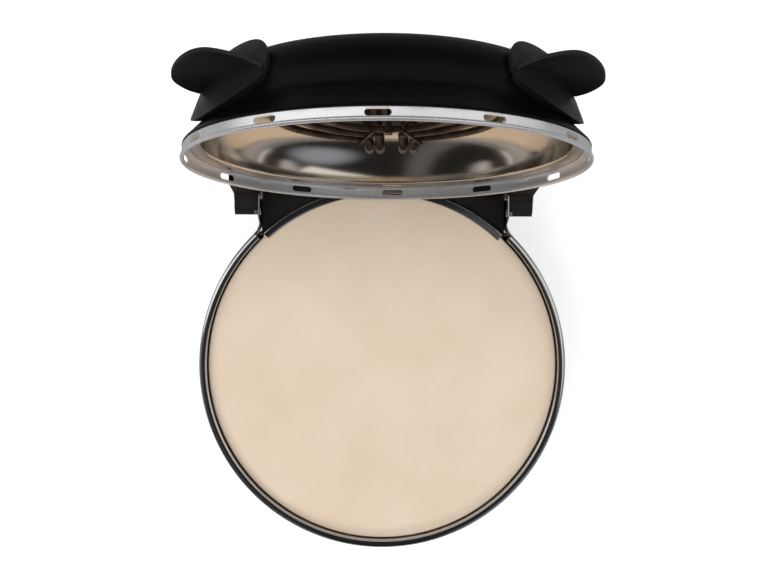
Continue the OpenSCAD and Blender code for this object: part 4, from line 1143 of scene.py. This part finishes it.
def build_world():
    """What the steel mirrors: bands of grey by direction, with X to the right, Y to the back and Z up."""
    world = bpy.data.worlds.new("studio")
    bpy.context.scene.world = world
    world.use_nodes = True
    tree = world.node_tree
    place = tree.nodes.new("ShaderNodeTexCoord").outputs["Generated"]
    split = tree.nodes.new("ShaderNodeSeparateXYZ")
    tree.links.new(place, split.inputs[0])
    x, y, z = split.outputs
    across = maths(tree, "ABSOLUTE", x, 0.0)

    def product(first, *others):
        for other in others:
            first = maths(tree, "MULTIPLY", first, other)
        return first

    # a bright strip overhead that reaches further to the front on the right
    shift = product(maths(tree, "MAXIMUM", x, 0.0), ranged(tree, z, 0.45, 0.65, 0.0, 0.45))
    strip = product(ranged(tree, maths(tree, "ADD", y, shift), 0.04, 0.16, 0.0, 1.0),
                    ranged(tree, y, 0.40, 0.52, 1.0, 0.0), ranged(tree, across, 0.80, 0.95, 1.0, 0.75),
                    ranged(tree, x, -0.30, 0.30, 1.5, 1.0))
    # a dim streak left of the middle
    beside = maths(tree, "ABSOLUTE", maths(tree, "ADD", x, 0.36), 0.0)
    streak = product(ranged(tree, beside, 0.04, 0.22, 0.13, 0.0), ranged(tree, y, -0.05, 0.10, 1.0, 0.0))
    # pale sides, and a horizon that is darker at the front
    sides = product(ranged(tree, across, 0.80, 0.92, 0.0, 0.55), ranged(tree, y, -0.42, -0.26, 0.0, 1.0),
                    ranged(tree, z, 0.24, 0.34, 0.0, 1.0))
    horizon = product(ranged(tree, z, 0.01, 0.05, 0.95, 0.0), ranged(tree, y, -0.60, -0.40, 0.25, 1.0))
    grey = 0.02
    for part in (strip, streak, sides, horizon):
        grey = maths(tree, "MAXIMUM", part, grey)
    # one soft bluish window on the right, in front
    window = tree.nodes.new("ShaderNodeVectorMath")
    window.operation = "DOT_PRODUCT"
    tree.links.new(place, window.inputs[0])
    window.inputs[1].default_value = Vector((0.58, -0.62, 0.52)).normalized()
    colour = mixed(tree, ranged(tree, window.outputs["Value"], 0.90, 1.0, 0.0, 1.0), grey,
                   (0.34, 0.38, 0.46, 1))
    # white to the camera
    path = tree.nodes.new("ShaderNodeLightPath")
    colour = mixed(tree, path.outputs["Is Camera Ray"], colour, (1, 1, 1, 1))
    tree.links.new(colour, tree.nodes["Background"].inputs["Color"])


def build_camera():
    data = bpy.data.cameras.new("camera")
    data.sensor_width = 36
    data.lens = FOCAL/PICTURE_W*data.sensor_width
    data.shift_x = (PICTURE_W/2 - PICTURE_MIDDLE)/PICTURE_W
    camera = bpy.data.objects.new("camera", data)
    camera.location = (turn(CAMERA_YAW, "Z") @ Vector((CAMERA_X, CAMERA_Y, CAMERA_UP))
                       + Vector((0, -ORIGIN_Y, STONE_TOP)))*MM
    camera.rotation_euler = (0, 0, math.radians(CAMERA_YAW))
    bpy.context.scene.collection.objects.link(camera)
    bpy.context.scene.camera = camera


build_floor()
build_world()
build_camera()
area_light("key", (-1.0, -0.35, 1.9), (0, 0, 0.1), (1.4, 1.4), 21)
area_light("fill", (1.3, 0.25, 1.7), (0, 0, 0.1), (1.0, 1.4), 7.5)
area_light("front", (0.1, -1.6, 1.6), (0, 0, 0.15), (1.8, 0.8), 12)
bpy.context.scene.view_settings.view_transform = "Standard"
